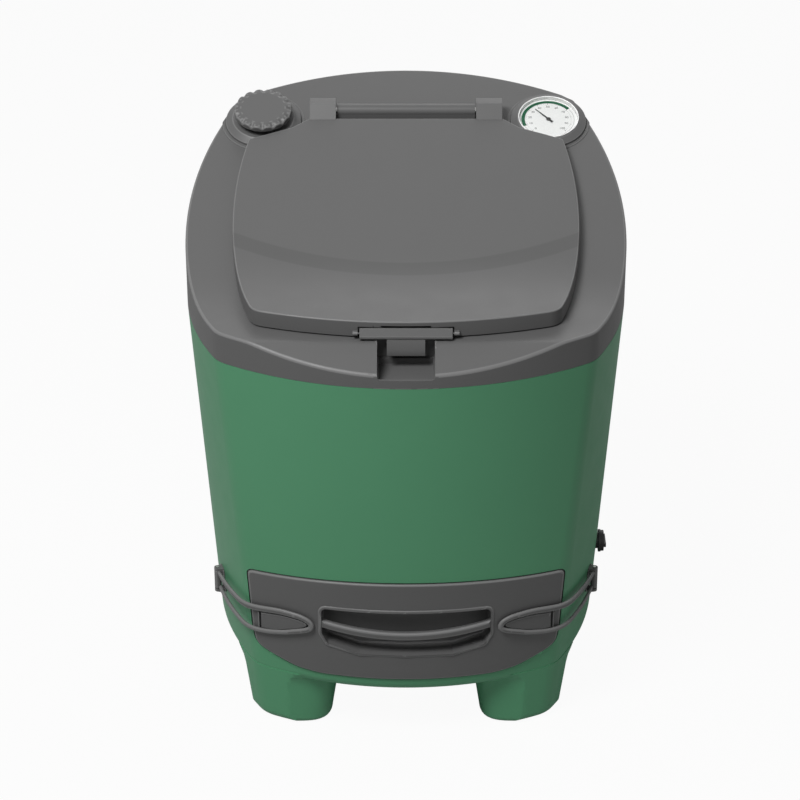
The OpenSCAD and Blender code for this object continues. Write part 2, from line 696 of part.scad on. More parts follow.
module top_cover() color("dimgray")
  difference() {
    union() {
      difference() {
        cover_solid(0, 0, parting_z);
        cover_solid(cover_t, cover_t, parting_z - over);
      }
      intersection() {
        union() {
          posts(post_r, cover_rise);
          throat(collar_t, parting_z + over);
          each_arm() cylinder(r = knuckle_r + recess_wall, h = knuckle_w + hinge_gap / 2);
          for (s = [-1, 1]) at_boss(s) translate([0, 0, -case_depth]) cylinder(r = boss_r, h = case_depth);
        }
        cover_solid(cover_t / 2, cover_t / 2, parting_z);
      }
      intersection() {
        throat(collar_t, parting_z);
        deck_slab(-roof_drop, collar_rise);
      }
      recess_block();
      intersection() {
        for (s = [-1, 1]) at_boss(s) {
          translate([0, 0, -cover_t / 2]) cylinder(r = boss_flange_r, h = cover_t / 2 + flange_h);
          translate([0, 0, -cover_t / 2]) cylinder(r = boss_r, h = cover_t / 2 + boss_h);
        }
        translate([0, 0, parting_z]) linear_extrude(cover_rise) polygon(outline(parting_z, 0));
      }
      on_hinge(-barrel_len / 2) cylinder(r = barrel_r, h = barrel_len);
      intersection() {
        translate([-barrel_len / 2, hinge_y - barrel_r / 2, hinge_z - 3 * barrel_r])
          cube([barrel_len, barrel_r, 3 * barrel_r]);
        deck_slab(-cover_t / 2, lid_h);
      }
    }
    intersection() {
      throat(0, parting_z - over);
      translate([0, 0, -over]) cover_solid(cover_t, -2 * lid_h, parting_z - over);
    }
    difference() {
      cover_solid(cover_side, roof_drop, parting_z - over);
      posts(post_r, cover_rise);
      recess_block();
    }
    translate([-recess_w / 2, -body_half - over, parting_z + recess_floor])
      cube([recess_w, body_half + over - recess_back, catch_under - recess_floor]);
    translate([-recess_w / 2, -body_half - over, parting_z + recess_floor])
      cube([recess_w, body_half + over - catch_front, cover_rise]);
    for (x = [-arm_x - knuckle_w - hinge_gap / 2, arm_x - hinge_gap / 2])
      on_hinge(x) cylinder(r = knuckle_r + over, h = knuckle_w + hinge_gap);
    on_hinge(-barrel_len / 2 - over) cylinder(r = hinge_pin_r + run_gap / 2, h = pin_len / 2 + over);
    on_hinge(barrel_len / 2 - pin_len / 2) cylinder(r = hinge_pin_r + run_gap / 2, h = pin_len / 2 + over);
    at_boss(-1) translate([0, 0, -body_half / 4]) cylinder(r = vent_pipe_r + run_gap, h = body_half);
    at_boss(-1) translate([0, 0, boss_h - vent_flange_t])
      cylinder(r = vent_flange_r + seat_gap, h = vent_flange_t + over);
    at_boss(1) translate([0, 0, boss_h - case_depth]) cylinder(r = case_r + run_gap, h = case_depth + over);
    at_boss(1) translate([0, 0, -body_half / 4]) cylinder(r = stem_r + fit_gap, h = body_half / 4 + boss_h);
    for (p = screw_places) translate([p[0], p[1], parting_z - over])
      cylinder(r = screw_r + run_gap, h = screw_len - rim_t + 2 * over);
  }

// Room for the vent pipe and the probe under the skin
module boss_holes() {
  at_boss(-1) translate([0, 0, -body_half / 4]) cylinder(r = vent_pipe_r + fit_gap, h = body_half);
  at_boss(1) translate([0, 0, -body_half / 4]) cylinder(r = stem_r + fit_gap, h = body_half);
}
module cover_insulation() color("khaki")
  difference() {
    cover_solid(cover_t + fit_gap, cover_t + fit_gap, parting_z + seat_gap);
    cover_solid(cover_side - fit_gap, roof_drop - fit_gap, parting_z - over);
    posts(post_r + fit_gap, cover_rise);
    throat(collar_t + fit_gap);
    recess_room(fit_gap);
    each_arm() translate([0, 0, -fit_gap * 2])
      cylinder(r = knuckle_r + recess_wall + fit_gap, h = knuckle_w + hinge_gap / 2 + fit_gap * 4);
    for (s = [-1, 1]) at_boss(s) translate([0, 0, -case_depth - fit_gap])
      cylinder(r = boss_r + fit_gap, h = case_depth + over);
    boss_holes();
  }
// Plain box round the latch recess with a clearance
module recess_room(grow)
  translate([-recess_w / 2 - recess_wall - grow, -body_half - over, parting_z - over])
    cube([recess_w + 2 * (recess_wall + grow),
      body_half - recess_back + 3 * recess_wall + over + grow, cover_rise]);

module cover_inner_pan() color("gray")
  difference() {
    cover_solid(cover_side, roof_drop, parting_z + seat_gap);
    cover_solid(cover_side + pan_t, roof_drop + pan_t, parting_z - over);
    posts(post_r + fit_gap, cover_rise);
    throat(collar_t + fit_gap);
    recess_room(fit_gap);
    boss_holes();
  }

module screw(r, len, head_r, head_h) {
  cylinder(r = r, h = len);
  translate([0, 0, -head_h]) cylinder(r = head_r, h = head_h);
}
module cover_screws() color("silver")
  for (p = screw_places) translate([p[0], p[1], parting_z - rim_t - run_gap])
    screw(screw_r, screw_len, screw_head_r, screw_head_h);

module hinge_pins() color("silver") {
  on_hinge(-barrel_len / 2 - pin_len / 2) cylinder(r = hinge_pin_r, h = pin_len - over);
  on_hinge(barrel_len / 2 - pin_len / 2 + over) cylinder(r = hinge_pin_r, h = pin_len - over);
}

// Vent: pipe with a ported plate, a turning shutter and the knob
vent_flange_r = 24;
vent_flange_t = 3;
vent_len = 42;
vent_plate_t = 2.5;
spindle_r = 3;
knob_lift = 3;
knob_wall = 3;
hub_r = 8;
shutter_t = 2.5;
module vent_pipe() color("dimgray")
  at_boss(-1) {
    difference() {
      union() {
        translate([0, 0, -vent_len]) cylinder(r = vent_pipe_r, h = vent_len + boss_h);
        translate([0, 0, boss_h - vent_flange_t]) cylinder(r = vent_flange_r, h = vent_flange_t);
      }
      translate([0, 0, -vent_len - over]) cylinder(r = vent_bore_r, h = vent_len + boss_h + 2 * over);
    }
    translate([0, 0, boss_h - shutter_t * 3])
      port_disc(vent_bore_r + over, vent_plate_t, hub_r - over, spindle_r + run_gap);
  }
shutter_z = boss_h - shutter_t * 3 + vent_plate_t + seat_gap;
module vent_shutter() color("gray")
  at_boss(-1) translate([0, 0, shutter_z])
    port_disc(vent_bore_r - seat_gap, shutter_t, hub_r - over, spindle_r + run_gap);

knob_z = boss_h + knob_lift;
knob_notch_r = 5.5;
module vent_knob() color("dimgray")
  at_boss(-1) difference() {
    union() {
      translate([0, 0, knob_z]) rotate_extrude() polygon([[0, 0], [knob_r - over, 0], [knob_r, over],
        [knob_r, knob_h * 0.7], [knob_r - knob_wall, knob_h * 0.9], [knob_r * 0.6, knob_h], [0, knob_h]]);
      translate([0, 0, shutter_z + shutter_t + seat_gap])
        cylinder(r = hub_r, h = knob_z + knob_wall - shutter_z - shutter_t);
    }
    translate([0, 0, knob_z - over]) difference() {
      cylinder(r = knob_r - knob_notch_r - knob_wall, h = knob_h - knob_wall + over);
      cylinder(r = hub_r, h = knob_h);
    }
    for (i = [0 : knob_flutes - 1]) rotate([0, 0, 360 * i / knob_flutes])
      translate([knob_r + knob_notch_r / 2, 0, knob_z - over])
        cylinder(r = knob_notch_r, h = knob_h + 2 * over);
    translate([0, 0, shutter_z - over])
      cylinder(r = spindle_r + run_gap, h = knob_z + knob_h / 2 - shutter_z);
  }

spindle_head_r = 6;
spindle_head_h = 3;
spindle_z = shutter_z - vent_plate_t - 2 * seat_gap;
module vent_spindle() color("silver")
  at_boss(-1) {
    translate([0, 0, spindle_z - over])
      cylinder(r = spindle_r, h = knob_z + knob_h / 2 - spindle_z - 2 * over);
    translate([0, 0, spindle_z - spindle_head_h]) cylinder(r = spindle_head_r, h = spindle_head_h);
  }

// Thermometer: cup and bezel, dial, lens, probe and pointer
case_wall = 2;
dial_t = 1;
lens_t = 1.5;
bezel_h = 3;
dial_sink = 6;
dial_z = boss_h - dial_sink;
axle_r = 0.8;
module thermometer_case() color("black")
  at_boss(1) difference() {
    union() {
      translate([0, 0, boss_h - case_depth + run_gap]) cylinder(r = case_r, h = case_depth);
      translate([0, 0, boss_h + run_gap]) cylinder(r = bezel_r, h = bezel_h);
    }
    translate([0, 0, boss_h - case_depth + case_wall]) cylinder(r = dial_r - case_wall, h = case_depth);
    translate([0, 0, dial_z]) cylinder(r = dial_r, h = case_depth);
    translate([0, 0, boss_h - case_depth - over]) cylinder(r = stem_r + run_gap, h = case_wall + 2 * over);
  }
module thermometer_dial() color("white")
  at_boss(1) translate([0, 0, dial_z + run_gap]) difference() {
    cylinder(r = dial_r - run_gap, h = dial_t);
    translate([0, 0, -over]) cylinder(r = axle_r + run_gap, h = dial_t + 2 * over);
  }
module thermometer_lens() color("lightcyan", 0.4)
  at_boss(1) translate([0, 0, boss_h + over]) cylinder(r = dial_r - run_gap, h = lens_t);
module thermometer_probe() color("silver")
  at_boss(1) translate([0, 0, -probe_len])
    cylinder(r = stem_r, h = probe_len + boss_h - case_depth + case_wall + over);
needle_len = 34;
needle_tail = 10;
needle_t = 0.8;
needle_w = 1.6;
needle_hub_r = 4;
needle_z = dial_z + dial_t + needle_t;
module thermometer_pointer() color("black")
  at_boss(1) rotate([0, 0, needle_rest]) {
    translate([0, 0, needle_z]) linear_extrude(needle_t) union() {
      polygon([[-needle_w, 0], [needle_w, 0], [needle_w / 4, needle_len], [-needle_w / 4, needle_len]]);
      polygon([[-needle_w, 0], [-needle_w * 1.4, -needle_tail],
        [needle_w * 1.4, -needle_tail], [needle_w, 0]]);
      circle(needle_hub_r);
    }
    translate([0, 0, dial_z - dial_t])
      cylinder(r = axle_r, h = needle_z - dial_z + dial_t + needle_t);
  }

// Lid
lid_cut_in = 71;
lid_cut_y = boss_y - lid_cut_in;
lid_cut_shares = [[0.97264, 0.73154], [1.20714, 0.46293], [1.47036, 0.39286]];
lid_gap = 2.5;
function lid_outline(inset) =
  let (q = quarter(lid_half_w - inset, lid_front - inset, lid_front_r - inset, lid_side_r - inset,
         max(lid_corner_r - inset, over)),
       side = [for (i = [1 : 3]) let (y = (lid_cut_y - inset) * i / 3)
         [lid_half_w - lid_side_r + sqrt(pow(lid_side_r - inset, 2) - y * y) , y]],
       cut = [for (p = lid_cut_shares)
         [boss_x - p[0] * boss_r - inset * 0.4, boss_y - p[1] * boss_r - inset]],
       half = concat(q, side, cut))
  concat(half, [for (i = [len(half) - 1 : -1 : 1]) [-half[i][0], half[i][1]]]);
module lid_solid(inset, low, high)
  intersection() {
    translate([0, 0, parting_z]) linear_extrude(cover_rise + lid_h) polygon(lid_outline(inset));
    deck_slab(low, high);
  }

latch_y = lid_front + over;
latch_lift = 10;
latch_z = parting_z + deck_low + latch_lift;
latch_r = 8.5;
latch_gap = 1.5;
latch_reach = 9;
latch_face = lid_front + latch_reach;
latch_top = latch_z + latch_h / 2 + over / 2;
pocket_half = latch_w / 2 + latch_gap;
module on_latch(x) translate([x, -latch_y, latch_z]) rotate([0, 90, 0]) children();
latch_pin_r = 2;
pocket_wall = 9;
pocket_depth = 13.5;
pocket_rise = 12.8;
pocket_back = latch_y - pocket_depth;
pocket_top = latch_z + pocket_rise;
pocket_backing = 5;
latch_pin_half = pocket_half + pocket_wall * 2 / 3;

// Arm of the lid: knuckle round the hinge axis, joined to the lid's rear edge
module knuckle_shape()
  polygon([[lid_rear - lid_t, parting_z + deck(lid_rear) + lid_gap + over],
    [lid_rear - lid_t, parting_z + deck(lid_rear) + lid_h - over],
    [hinge_y - knuckle_r * sin(45), hinge_z + knuckle_r * cos(45)],
    [hinge_y + knuckle_r * sin(20), hinge_z + knuckle_r * cos(20)], [hinge_y, hinge_z],
    [hinge_y - knuckle_r * 0.75, hinge_z - knuckle_r * 0.6]]);

module lid_shell() color("dimgray")
  difference() {
    union() {
      difference() {
        lid_solid(0, lid_gap, lid_h);
        lid_solid(lid_t, -lid_h, lid_h - lid_t);
      }
      intersection() {
        translate([-pocket_half - pocket_wall, -body_half, parting_z])
          cube([2 * (pocket_half + pocket_wall), body_half - pocket_back + pocket_backing, cover_rise]);
        lid_solid(0, lid_gap, lid_h);
      }
      for (x = [-arm_x - knuckle_w, arm_x]) {
        on_hinge(x) cylinder(r = knuckle_r, h = knuckle_w);
        rotate([90, 0, 90]) translate([0, 0, x]) linear_extrude(knuckle_w) knuckle_shape();
      }
      intersection() {
        at_lid_screws(0) cylinder(r = lid_post_r, h = lid_h);
        lid_solid(lid_t, lid_pan_z + pan_t + seat_gap, lid_h - lid_t / 2);
      }
    }
    translate([-pocket_half, -body_half, parting_z + over])
      cube([2 * pocket_half, body_half - pocket_back, pocket_top - parting_z - over]);
    on_latch(-latch_pin_half) cylinder(r = latch_pin_r + run_gap / 2, h = 2 * latch_pin_half);
    each_arm() translate([0, 0, -over]) cylinder(r = hinge_pin_r + run_gap, h = knuckle_w + 2 * over);
    at_lid_screws(0) cylinder(r = screw_r + run_gap, h = lid_seat + lid_screw_len + over);
  }

// Screws that hold the lid's inner pan, standing in posts under the skin
lid_screw_side_in = 45;
lid_screw_y_share = 0.405;
lid_screw_x = lid_half_w - lid_screw_side_in;
lid_screw_y = lid_front * lid_screw_y_share;
lid_pan_z = 6;
lid_post_r = 5;
lid_screw_len = 14;
lid_places = [for (sx = [-1, 1]) for (sy = [-1, 1]) [sx * lid_screw_x, sy * lid_screw_y]];
function deck_angle(y) = atan(y >= -bend_start ? slope : max(slope * (y + bend_end) / deck_bend, 0));
module at_lid_screws(lift)
  for (p = lid_places) translate([p[0], p[1], parting_z + deck(p[1])]) rotate([deck_angle(p[1]), 0, 0])
    translate([0, 0, lift]) children();
// Lift of the pan's underside square to the slope at the screws
lid_seat = lid_pan_z * cos(top_slope) - seat_gap;

module lid_core(inset, low, high)
  difference() {
    lid_solid(inset, low, high);
    translate([-pocket_half - pocket_wall - fit_gap, -body_half, parting_z])
      cube([2 * (pocket_half + pocket_wall + fit_gap),
        body_half - pocket_back + pocket_backing + fit_gap, cover_rise]);
  }
plug_gap = 12;
plug_depth = 8;
module plug(grow, low)
  intersection() {
    throat(-plug_gap - grow, parting_z);
    deck_slab(low, lid_pan_z + pan_t + over);
  }
module lid_insulation() color("khaki")
  difference() {
    union() {
      lid_core(lid_t + fit_gap, lid_pan_z + pan_t + seat_gap, lid_h - lid_t - fit_gap);
      plug(pan_t + fit_gap, pan_t + fit_gap - plug_depth);
    }
    at_lid_screws(0) cylinder(r = lid_post_r + fit_gap, h = lid_h);
  }
module lid_inner_pan() color("gray")
  difference() {
    union() {
      lid_core(lid_t + fit_gap, lid_pan_z, lid_pan_z + pan_t);
      intersection() {
        plug(0, -plug_depth);
        deck_slab(-plug_depth, lid_pan_z + pan_t);
      }
    }
    plug(pan_t, pan_t - plug_depth);
    at_lid_screws(0) cylinder(r = screw_r + fit_gap, h = lid_h);
  }
seal_w = 6;
module lid_seal() color("black")
  intersection() {
    difference() {
      throat(collar_t + seal_w);
      throat(-over);
    }
    deck_slab(collar_rise + seat_gap, lid_pan_z - run_gap);
  }
module lid_screws() color("silver")
  at_lid_screws(lid_seat) screw(screw_r, lid_screw_len, screw_head_r, tray_t / 2);

// Latch: bar on a pin in the lid's front edge, with a tongue that hooks under the catch
tongue_t = 5;
tongue_reach = 4;
tongue_drop = 36;
nose_play = 4;
tongue_face = latch_face + tongue_reach;
tongue_low = latch_z - tongue_drop;
nose_top = parting_z + catch_under - nose_play;
nose_t = 6;
nose_reach = catch_front - over;
spring_w = 14;
spring_x = -52;
spring_r = 4.2;
spring_leg_w = 2;
spring_leg_t = 1.4;
module lid_latch() color("dimgray")
  difference() {
    union() {
      on_latch(-latch_w / 2) cylinder(r = latch_r, h = latch_w);
      translate([-latch_w / 2, -latch_face, latch_z - latch_r])
        cube([latch_w, latch_face - latch_y, latch_top - latch_z + latch_r]);
      translate([-tongue_w / 2, -tongue_face, tongue_low])
        cube([tongue_w, tongue_t, latch_z - tongue_low]);
      translate([-tongue_w / 2, -tongue_face, latch_z - latch_r * 1.5])
        cube([tongue_w, tongue_face - latch_y, latch_r]);
      translate([-tongue_w / 2, -tongue_face, nose_top - nose_t])
        cube([tongue_w, tongue_face - nose_reach, nose_t]);
    }
    on_latch(-latch_w / 2 - over) cylinder(r = latch_pin_r + run_gap, h = latch_w + 2 * over);
    on_latch(spring_x - spring_w / 2 - over) cylinder(r = spring_r + over, h = spring_w + 2 * over);
    translate([spring_x - spring_w / 2 - over, -latch_y - spring_r, latch_z - over])
      cube([spring_w + 2 * over, latch_face, latch_face]);
  }
module latch_pin() color("silver")
  on_latch(over - latch_pin_half) cylinder(r = latch_pin_r, h = 2 * (latch_pin_half - over));
module latch_spring() color("silver") {
  on_latch(spring_x - spring_w / 2) difference() {
    cylinder(r = spring_r, h = spring_w);
    translate([0, 0, -over]) cylinder(r = latch_pin_r + seat_gap, h = spring_w + 2 * over);
  }
  translate([spring_x - spring_leg_w / 2, spring_r - latch_y - spring_leg_t, latch_z])
    cube([spring_leg_w, spring_leg_t, pocket_top - latch_z - seat_gap]);
}

// Handle recess and bar in the hatch
grip_corner = 8;
grip_low_shares = [[0.56, 0], [0.8, 0.08], [0.925, 0.2], [1, 0.42]];
function grip_half() = concat(
  [for (p = grip_low_shares) [p[0] * grip_half_w, grip_bottom + p[1] * (grip_top - grip_bottom)]],
  [[grip_half_w, grip_top - grip_corner], [grip_half_w - grip_corner * 3 / 4, grip_top - grip_corner / 4],
    [grip_half_w / 2, grip_top]]);
module grip_shape(grow) offset(delta = grow) polygon(both_sides(grip_half()));
bar_z = 222;
BAR_STEPS = 8;
bar_sag = 9;
function bar_line(x) = bar_z - bar_sag + 2 * bar_sag * x * x / (grip_half_w * grip_half_w);
function bar_edge(side) = [for (i = [-BAR_STEPS : BAR_STEPS])
  let (x = side * i * (grip_half_w + hatch_t / 2) / BAR_STEPS)
  [x, bar_line(x) + side * bar_h / 2]];
module bar_shape(grow) offset(delta = grow) polygon(concat(bar_edge(1), bar_edge(-1)));
module bar(grow)
  intersection() {
    hatch_band(-hatch_proud - over - grow, bar_d - hatch_proud - over + grow);
    front_prism() bar_shape(grow);
  }

module hatch_band(a, b) wall_band(a, b, front_z0 - foam_t / 2, front_z1 + foam_t / 4);

// Screws that join the hatch's inner pan to posts in its skin, and the pan's seats for them
hatch_screw_in_x = 79;
hatch_screw_x = hatch_half_w - hatch_screw_in_x;
hatch_screw_low = 200;
hatch_screw_high = 262;
hatch_post_r = 6;
hatch_boss_r = 8;
hatch_boss_h = 4;
hatch_screw_len = 22;
plug_wall = 2;
plug_back_gap = 6;
plug_inset = chamber_inset - plug_back_gap;
hatch_screw_places = [for (s = [-1, 1]) for (z = [hatch_screw_low, hatch_screw_high])
  [s * hatch_screw_x, z]];
function front_wall_y(x, z, inset) = arc_y(x, front_r, half_at(z), inset);
// Distance of the screw head's seat in front of the middle
hatch_screw_in = front_wall_y(hatch_screw_x, hatch_screw_low, plug_inset) - hatch_boss_h;
module at_hatch_screw(p, y) translate([p[0], -y, p[1]]) rotate([90, 0, 0]) children();
module hatch_posts(grow)
  intersection() {
    for (p = hatch_screw_places) at_hatch_screw(p, hatch_screw_in)
      cylinder(r = hatch_post_r + grow, h = body_half);
    hatch_band(hatch_t / 2 - hatch_proud, plug_inset - plug_wall - seat_gap);
  }
module hatch_panel() color("dimgray")
  difference() {
    union() {
      difference() {
        intersection() {
          hatch_band(-hatch_proud, panel_depth);
          front_prism() hatch_shape(0);
        }
        intersection() {
          hatch_band(hatch_t - hatch_proud, panel_depth + over);
          front_prism() hatch_shape(-hatch_t);
        }
      }
      intersection() {
        hatch_band(-hatch_proud / 2, grip_depth + hatch_t);
        front_prism() grip_shape(hatch_t);
      }
      hatch_pads();
      hatch_posts(0);
    }
    intersection() {
      hatch_band(-2 * hatch_proud, grip_depth);
      front_prism() grip_shape(0);
    }
    bar(run_gap);
    for (p = hatch_screw_places) at_hatch_screw(p, hatch_screw_in)
      cylinder(r = screw_r + run_gap, h = hatch_screw_len);
  }

// Pads inside the loops, rising in steps from the loops' inner edge
pad_end_in = 15;
pad_end = hatch_half_w - pad_end_in;
pad_in_shares = [0.25, 0.6, 1.1, 1.6];
pad_rise_shares = [0.28, 0.5, 0.75, 1];
pad_rise = 9;
module pad_shape(s, grow)
  intersection() {
    offset(delta = -strand_w - grow) loop_shape(s);
    scale([s, 1]) translate([loop_tip_x, loop_z - loop_h]) square([pad_end - loop_tip_x, 2 * loop_h]);
  }
module hatch_pads()
  for (s = [-1, 1]) for (i = [0 : len(pad_in_shares) - 1])
    intersection() {
      hatch_band(-hatch_proud - pad_rise * pad_rise_shares[i], hatch_t / 2 - hatch_proud);
      front_prism() pad_shape(s, pad_in_shares[i] * strand_w);
    }

module hatch_handle() color("dimgray") bar(0);

module hatch_insulation() color("khaki")
  difference() {
    union() {
      intersection() {
        hatch_band(hatch_t - hatch_proud + fit_gap, panel_depth - fit_gap);
        front_prism() hatch_shape(-hatch_t - fit_gap);
      }
      intersection() {
        hatch_band(panel_depth - over, plug_inset - plug_wall - seat_gap);
        front_prism() outlet_shape(-move_gap - plug_wall - seat_gap);
      }
    }
    grip_room();
    for (p = hatch_screw_places) at_hatch_screw(p, hatch_screw_in - over)
      cylinder(r = hatch_post_r + fit_gap, h = body_half);
  }
module grip_room()
  intersection() {
    hatch_band(-hatch_proud, grip_depth + hatch_t + fit_gap);
    front_prism() grip_shape(hatch_t + fit_gap);
  }
module hatch_inner_pan() color("gray")
  difference() {
    union() {
      difference() {
        intersection() {
          hatch_band(panel_depth + seat_gap / 3, panel_depth + pan_plate_t);
          front_prism() hatch_shape(-over / 2);
        }
        front_prism() outlet_shape(-move_gap - plug_wall);
      }
      difference() {
        intersection() {
          hatch_band(panel_depth + seat_gap / 3, plug_inset);
          front_prism() outlet_shape(-move_gap);
        }
        intersection() {
          hatch_band(panel_depth - over, plug_inset - plug_wall);
          front_prism() outlet_shape(-move_gap - plug_wall);
        }
      }
      intersection() {
        for (p = hatch_screw_places) at_hatch_screw(p, hatch_screw_in)
          cylinder(r = hatch_boss_r, h = body_half);
        tub(plug_inset - plug_wall / 2, front_z0, front_z1);
      }
    }
    grip_room();
    for (p = hatch_screw_places) at_hatch_screw(p, hatch_screw_in - over)
      cylinder(r = screw_r + fit_gap, h = hatch_screw_len);
  }
hatch_seal_w = 12;
module hatch_seal() color("black")
  intersection() {
    hatch_band(seal_inset, seal_inset + seal_t);
    difference() {
      front_prism() outlet_shape(hatch_seal_w);
      front_prism() outlet_shape(over);
    }
  }
module hatch_screws() color("silver")
  for (p = hatch_screw_places) at_hatch_screw(p, hatch_screw_in)
    screw(screw_r, hatch_screw_len - over, screw_head_r, screw_head_h);

// Loops and their anchors: a plate on the side wall with two ears that carry the pin
anchor_peg_r = 4;
anchor_peg_len = 9;
anchor_t = 3;
ear_r = 6;
ear_t = 5;
ear_gap = 0.5;
eye_h = 36;
ear_z = eye_h / 2 + ear_gap + ear_t;
anchor_half_d = 13;
function side_wall_x(y, z, inset) = arc_y(y, side_r_at(z), half_at(z), inset);
anchor_x = side_wall_x(loop_pin_y, loop_z, 0);
loop_pin_x = anchor_x + loop_pin_off;
module at_anchor_pegs(s)
  for (z = [-eye_h / 4, eye_h / 4])
    translate([s * anchor_x, -loop_pin_y, loop_z + z]) rotate([0, s * 90, 0]) children();
module at_loop_pin(s, z) translate([s * loop_pin_x, -loop_pin_y, z]) children();
module loop_anchor(s)
  difference() {
    union() {
      intersection() {
        wall_band(-anchor_t, -seat_gap, loop_z - loop_h, loop_z + loop_h);
        translate([s * anchor_x - body_half / 4, -loop_pin_y - anchor_half_d, loop_z - ear_z])
          cube([body_half / 2, 2 * anchor_half_d, 2 * ear_z]);
      }
      difference() {
        for (z = [loop_z - ear_z, loop_z + eye_h / 2 + ear_gap]) at_loop_pin(s, z) hull() {
          cylinder(r = ear_r, h = ear_t);
          translate([-s * ear_r * 2, 0, 0]) cylinder(r = ear_r + over, h = ear_t);
        }
        tub(-seat_gap, loop_z - loop_h, loop_z + loop_h);
      }
      at_anchor_pegs(s) translate([0, 0, -anchor_peg_len])
        cylinder(r = anchor_peg_r, h = anchor_peg_len + anchor_t);
    }
    at_loop_pin(s, loop_z - ear_z - over) cylinder(r = loop_pin_r + run_gap / 2, h = 2 * (ear_z + over));
  }
module left_loop_anchor() color("dimgray") loop_anchor(-1);
module right_loop_anchor() color("dimgray") loop_anchor(1);
module loop_pins() color("silver")
  for (s = [-1, 1]) at_loop_pin(s, loop_z - ear_z - over) cylinder(r = loop_pin_r, h = 2 * (ear_z + over));

// Half height shares of a loop's upper and lower edge along its length, tip to anchor
loop_x_shares = [0, 0.05, 0.155, 0.33, 0.56, 0.82, 1.04];
loop_up_shares = [0.41, 0.78, 1.1, 1.13, 0.9, 0.74, 0.62];
loop_low_shares = [0.4, 0.15, -0.25, -0.7, -0.98, -0.98, -0.66];
loop_wrap = 8;
function loop_x(k) = loop_tip_x + k * (loop_pin_x - loop_tip_x);
module loop_shape(s)
  scale([s, 1]) polygon(concat(
    [for (i = [0 : len(loop_x_shares) - 1])
      [loop_x(loop_x_shares[i]), loop_z + loop_up_shares[i] * loop_h / 2]],
    [for (i = [len(loop_x_shares) - 1 : -1 : 0])
      [loop_x(loop_x_shares[i]), loop_z + loop_low_shares[i] * loop_h / 2]]));
loop_web = 60;
ear_clear_r = 2 * ear_r + anchor_t;
module latch_loop(s)
  difference() {
    union() {
      difference() {
        intersection() {
          wall_band(-hatch_proud - move_gap - loop_t, -hatch_proud - move_gap,
            loop_z - loop_h, loop_z + loop_h);
          front_prism(y1 = -loop_pin_y) loop_shape(s);
        }
        front_prism(y1 = -loop_pin_y - loop_web) offset(delta = -strand_w) loop_shape(s);
        at_loop_pin(s, loop_z - loop_h) cylinder(r = ear_clear_r, h = loop_h - eye_h / 2);
        at_loop_pin(s, loop_z + eye_h / 2) cylinder(r = ear_clear_r, h = loop_h);
      }
      at_loop_pin(s, loop_z - eye_h / 2) cylinder(r = ear_r, h = eye_h);
    }
    at_loop_pin(s, loop_z - eye_h / 2 - over) cylinder(r = loop_pin_r + run_gap, h = eye_h + 2 * over);
  }
module left_loop() color("dimgray") latch_loop(-1);
module right_loop() color("dimgray") latch_loop(1);

outer_shell();
wall_insulation();
base_insulation();
inner_liner();
seepage_tray();
floor_grate();
hatch_frame();
air_duct();
intake_pipe();
intake_valve();
drain_pipe();
drain_cap();
top_cover();
cover_insulation();
cover_inner_pan();
cover_screws();
hinge_pins();
vent_pipe();
vent_shutter();
vent_knob();
vent_spindle();
thermometer_case();
thermometer_dial();
thermometer_lens();
thermometer_probe();
thermometer_pointer();
lid_shell();
lid_insulation();
lid_inner_pan();
lid_seal();
lid_screws();
latch_pin();
latch_spring();
lid_latch();
hatch_panel();
hatch_handle();
hatch_insulation();
hatch_inner_pan();
hatch_seal();
hatch_screws();
left_loop_anchor();
right_loop_anchor();
loop_pins();
left_loop();
right_loop();
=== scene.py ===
from functools import lru_cache
from math import acos, atan, atan2, cos, hypot, pi, radians, sin, sqrt, tan
import bmesh
import bpy
import numpy as np
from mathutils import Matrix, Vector
from mathutils.geometry import delaunay_2d_cdt


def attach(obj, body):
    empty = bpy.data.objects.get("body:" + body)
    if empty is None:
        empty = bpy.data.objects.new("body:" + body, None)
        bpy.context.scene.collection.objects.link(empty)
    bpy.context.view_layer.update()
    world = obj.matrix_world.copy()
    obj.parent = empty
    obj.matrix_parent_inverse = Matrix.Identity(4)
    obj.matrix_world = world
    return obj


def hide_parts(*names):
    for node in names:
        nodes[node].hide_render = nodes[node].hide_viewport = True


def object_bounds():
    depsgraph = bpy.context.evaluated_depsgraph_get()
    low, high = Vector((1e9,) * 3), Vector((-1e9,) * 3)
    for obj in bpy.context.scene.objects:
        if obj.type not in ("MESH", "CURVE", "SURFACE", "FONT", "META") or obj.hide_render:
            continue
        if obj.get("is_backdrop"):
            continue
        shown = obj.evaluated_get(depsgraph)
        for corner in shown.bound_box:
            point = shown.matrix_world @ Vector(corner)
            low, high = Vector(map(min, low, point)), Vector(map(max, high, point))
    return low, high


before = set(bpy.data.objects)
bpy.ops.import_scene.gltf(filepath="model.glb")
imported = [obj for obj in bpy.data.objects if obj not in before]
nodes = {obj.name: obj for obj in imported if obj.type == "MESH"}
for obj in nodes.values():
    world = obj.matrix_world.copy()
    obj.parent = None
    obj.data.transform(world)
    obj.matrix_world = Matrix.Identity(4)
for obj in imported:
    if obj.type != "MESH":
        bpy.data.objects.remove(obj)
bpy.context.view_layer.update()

# Floor of the studio: a plain pale painted board that catches the bin's soft shadow.
# It isn't part of the bin, and the camera sees it nearly white, as in the photograph.
FLOOR_WHITE = 0.95


def new_material(name):
    """A material with its shader and the object's own coordinates."""
    m = bpy.data.materials.new(name)
    m.use_nodes = True
    tree = m.node_tree
    place = tree.nodes.new("ShaderNodeTexCoord").outputs["Object"]
    return m, tree, tree.nodes["Principled BSDF"], place


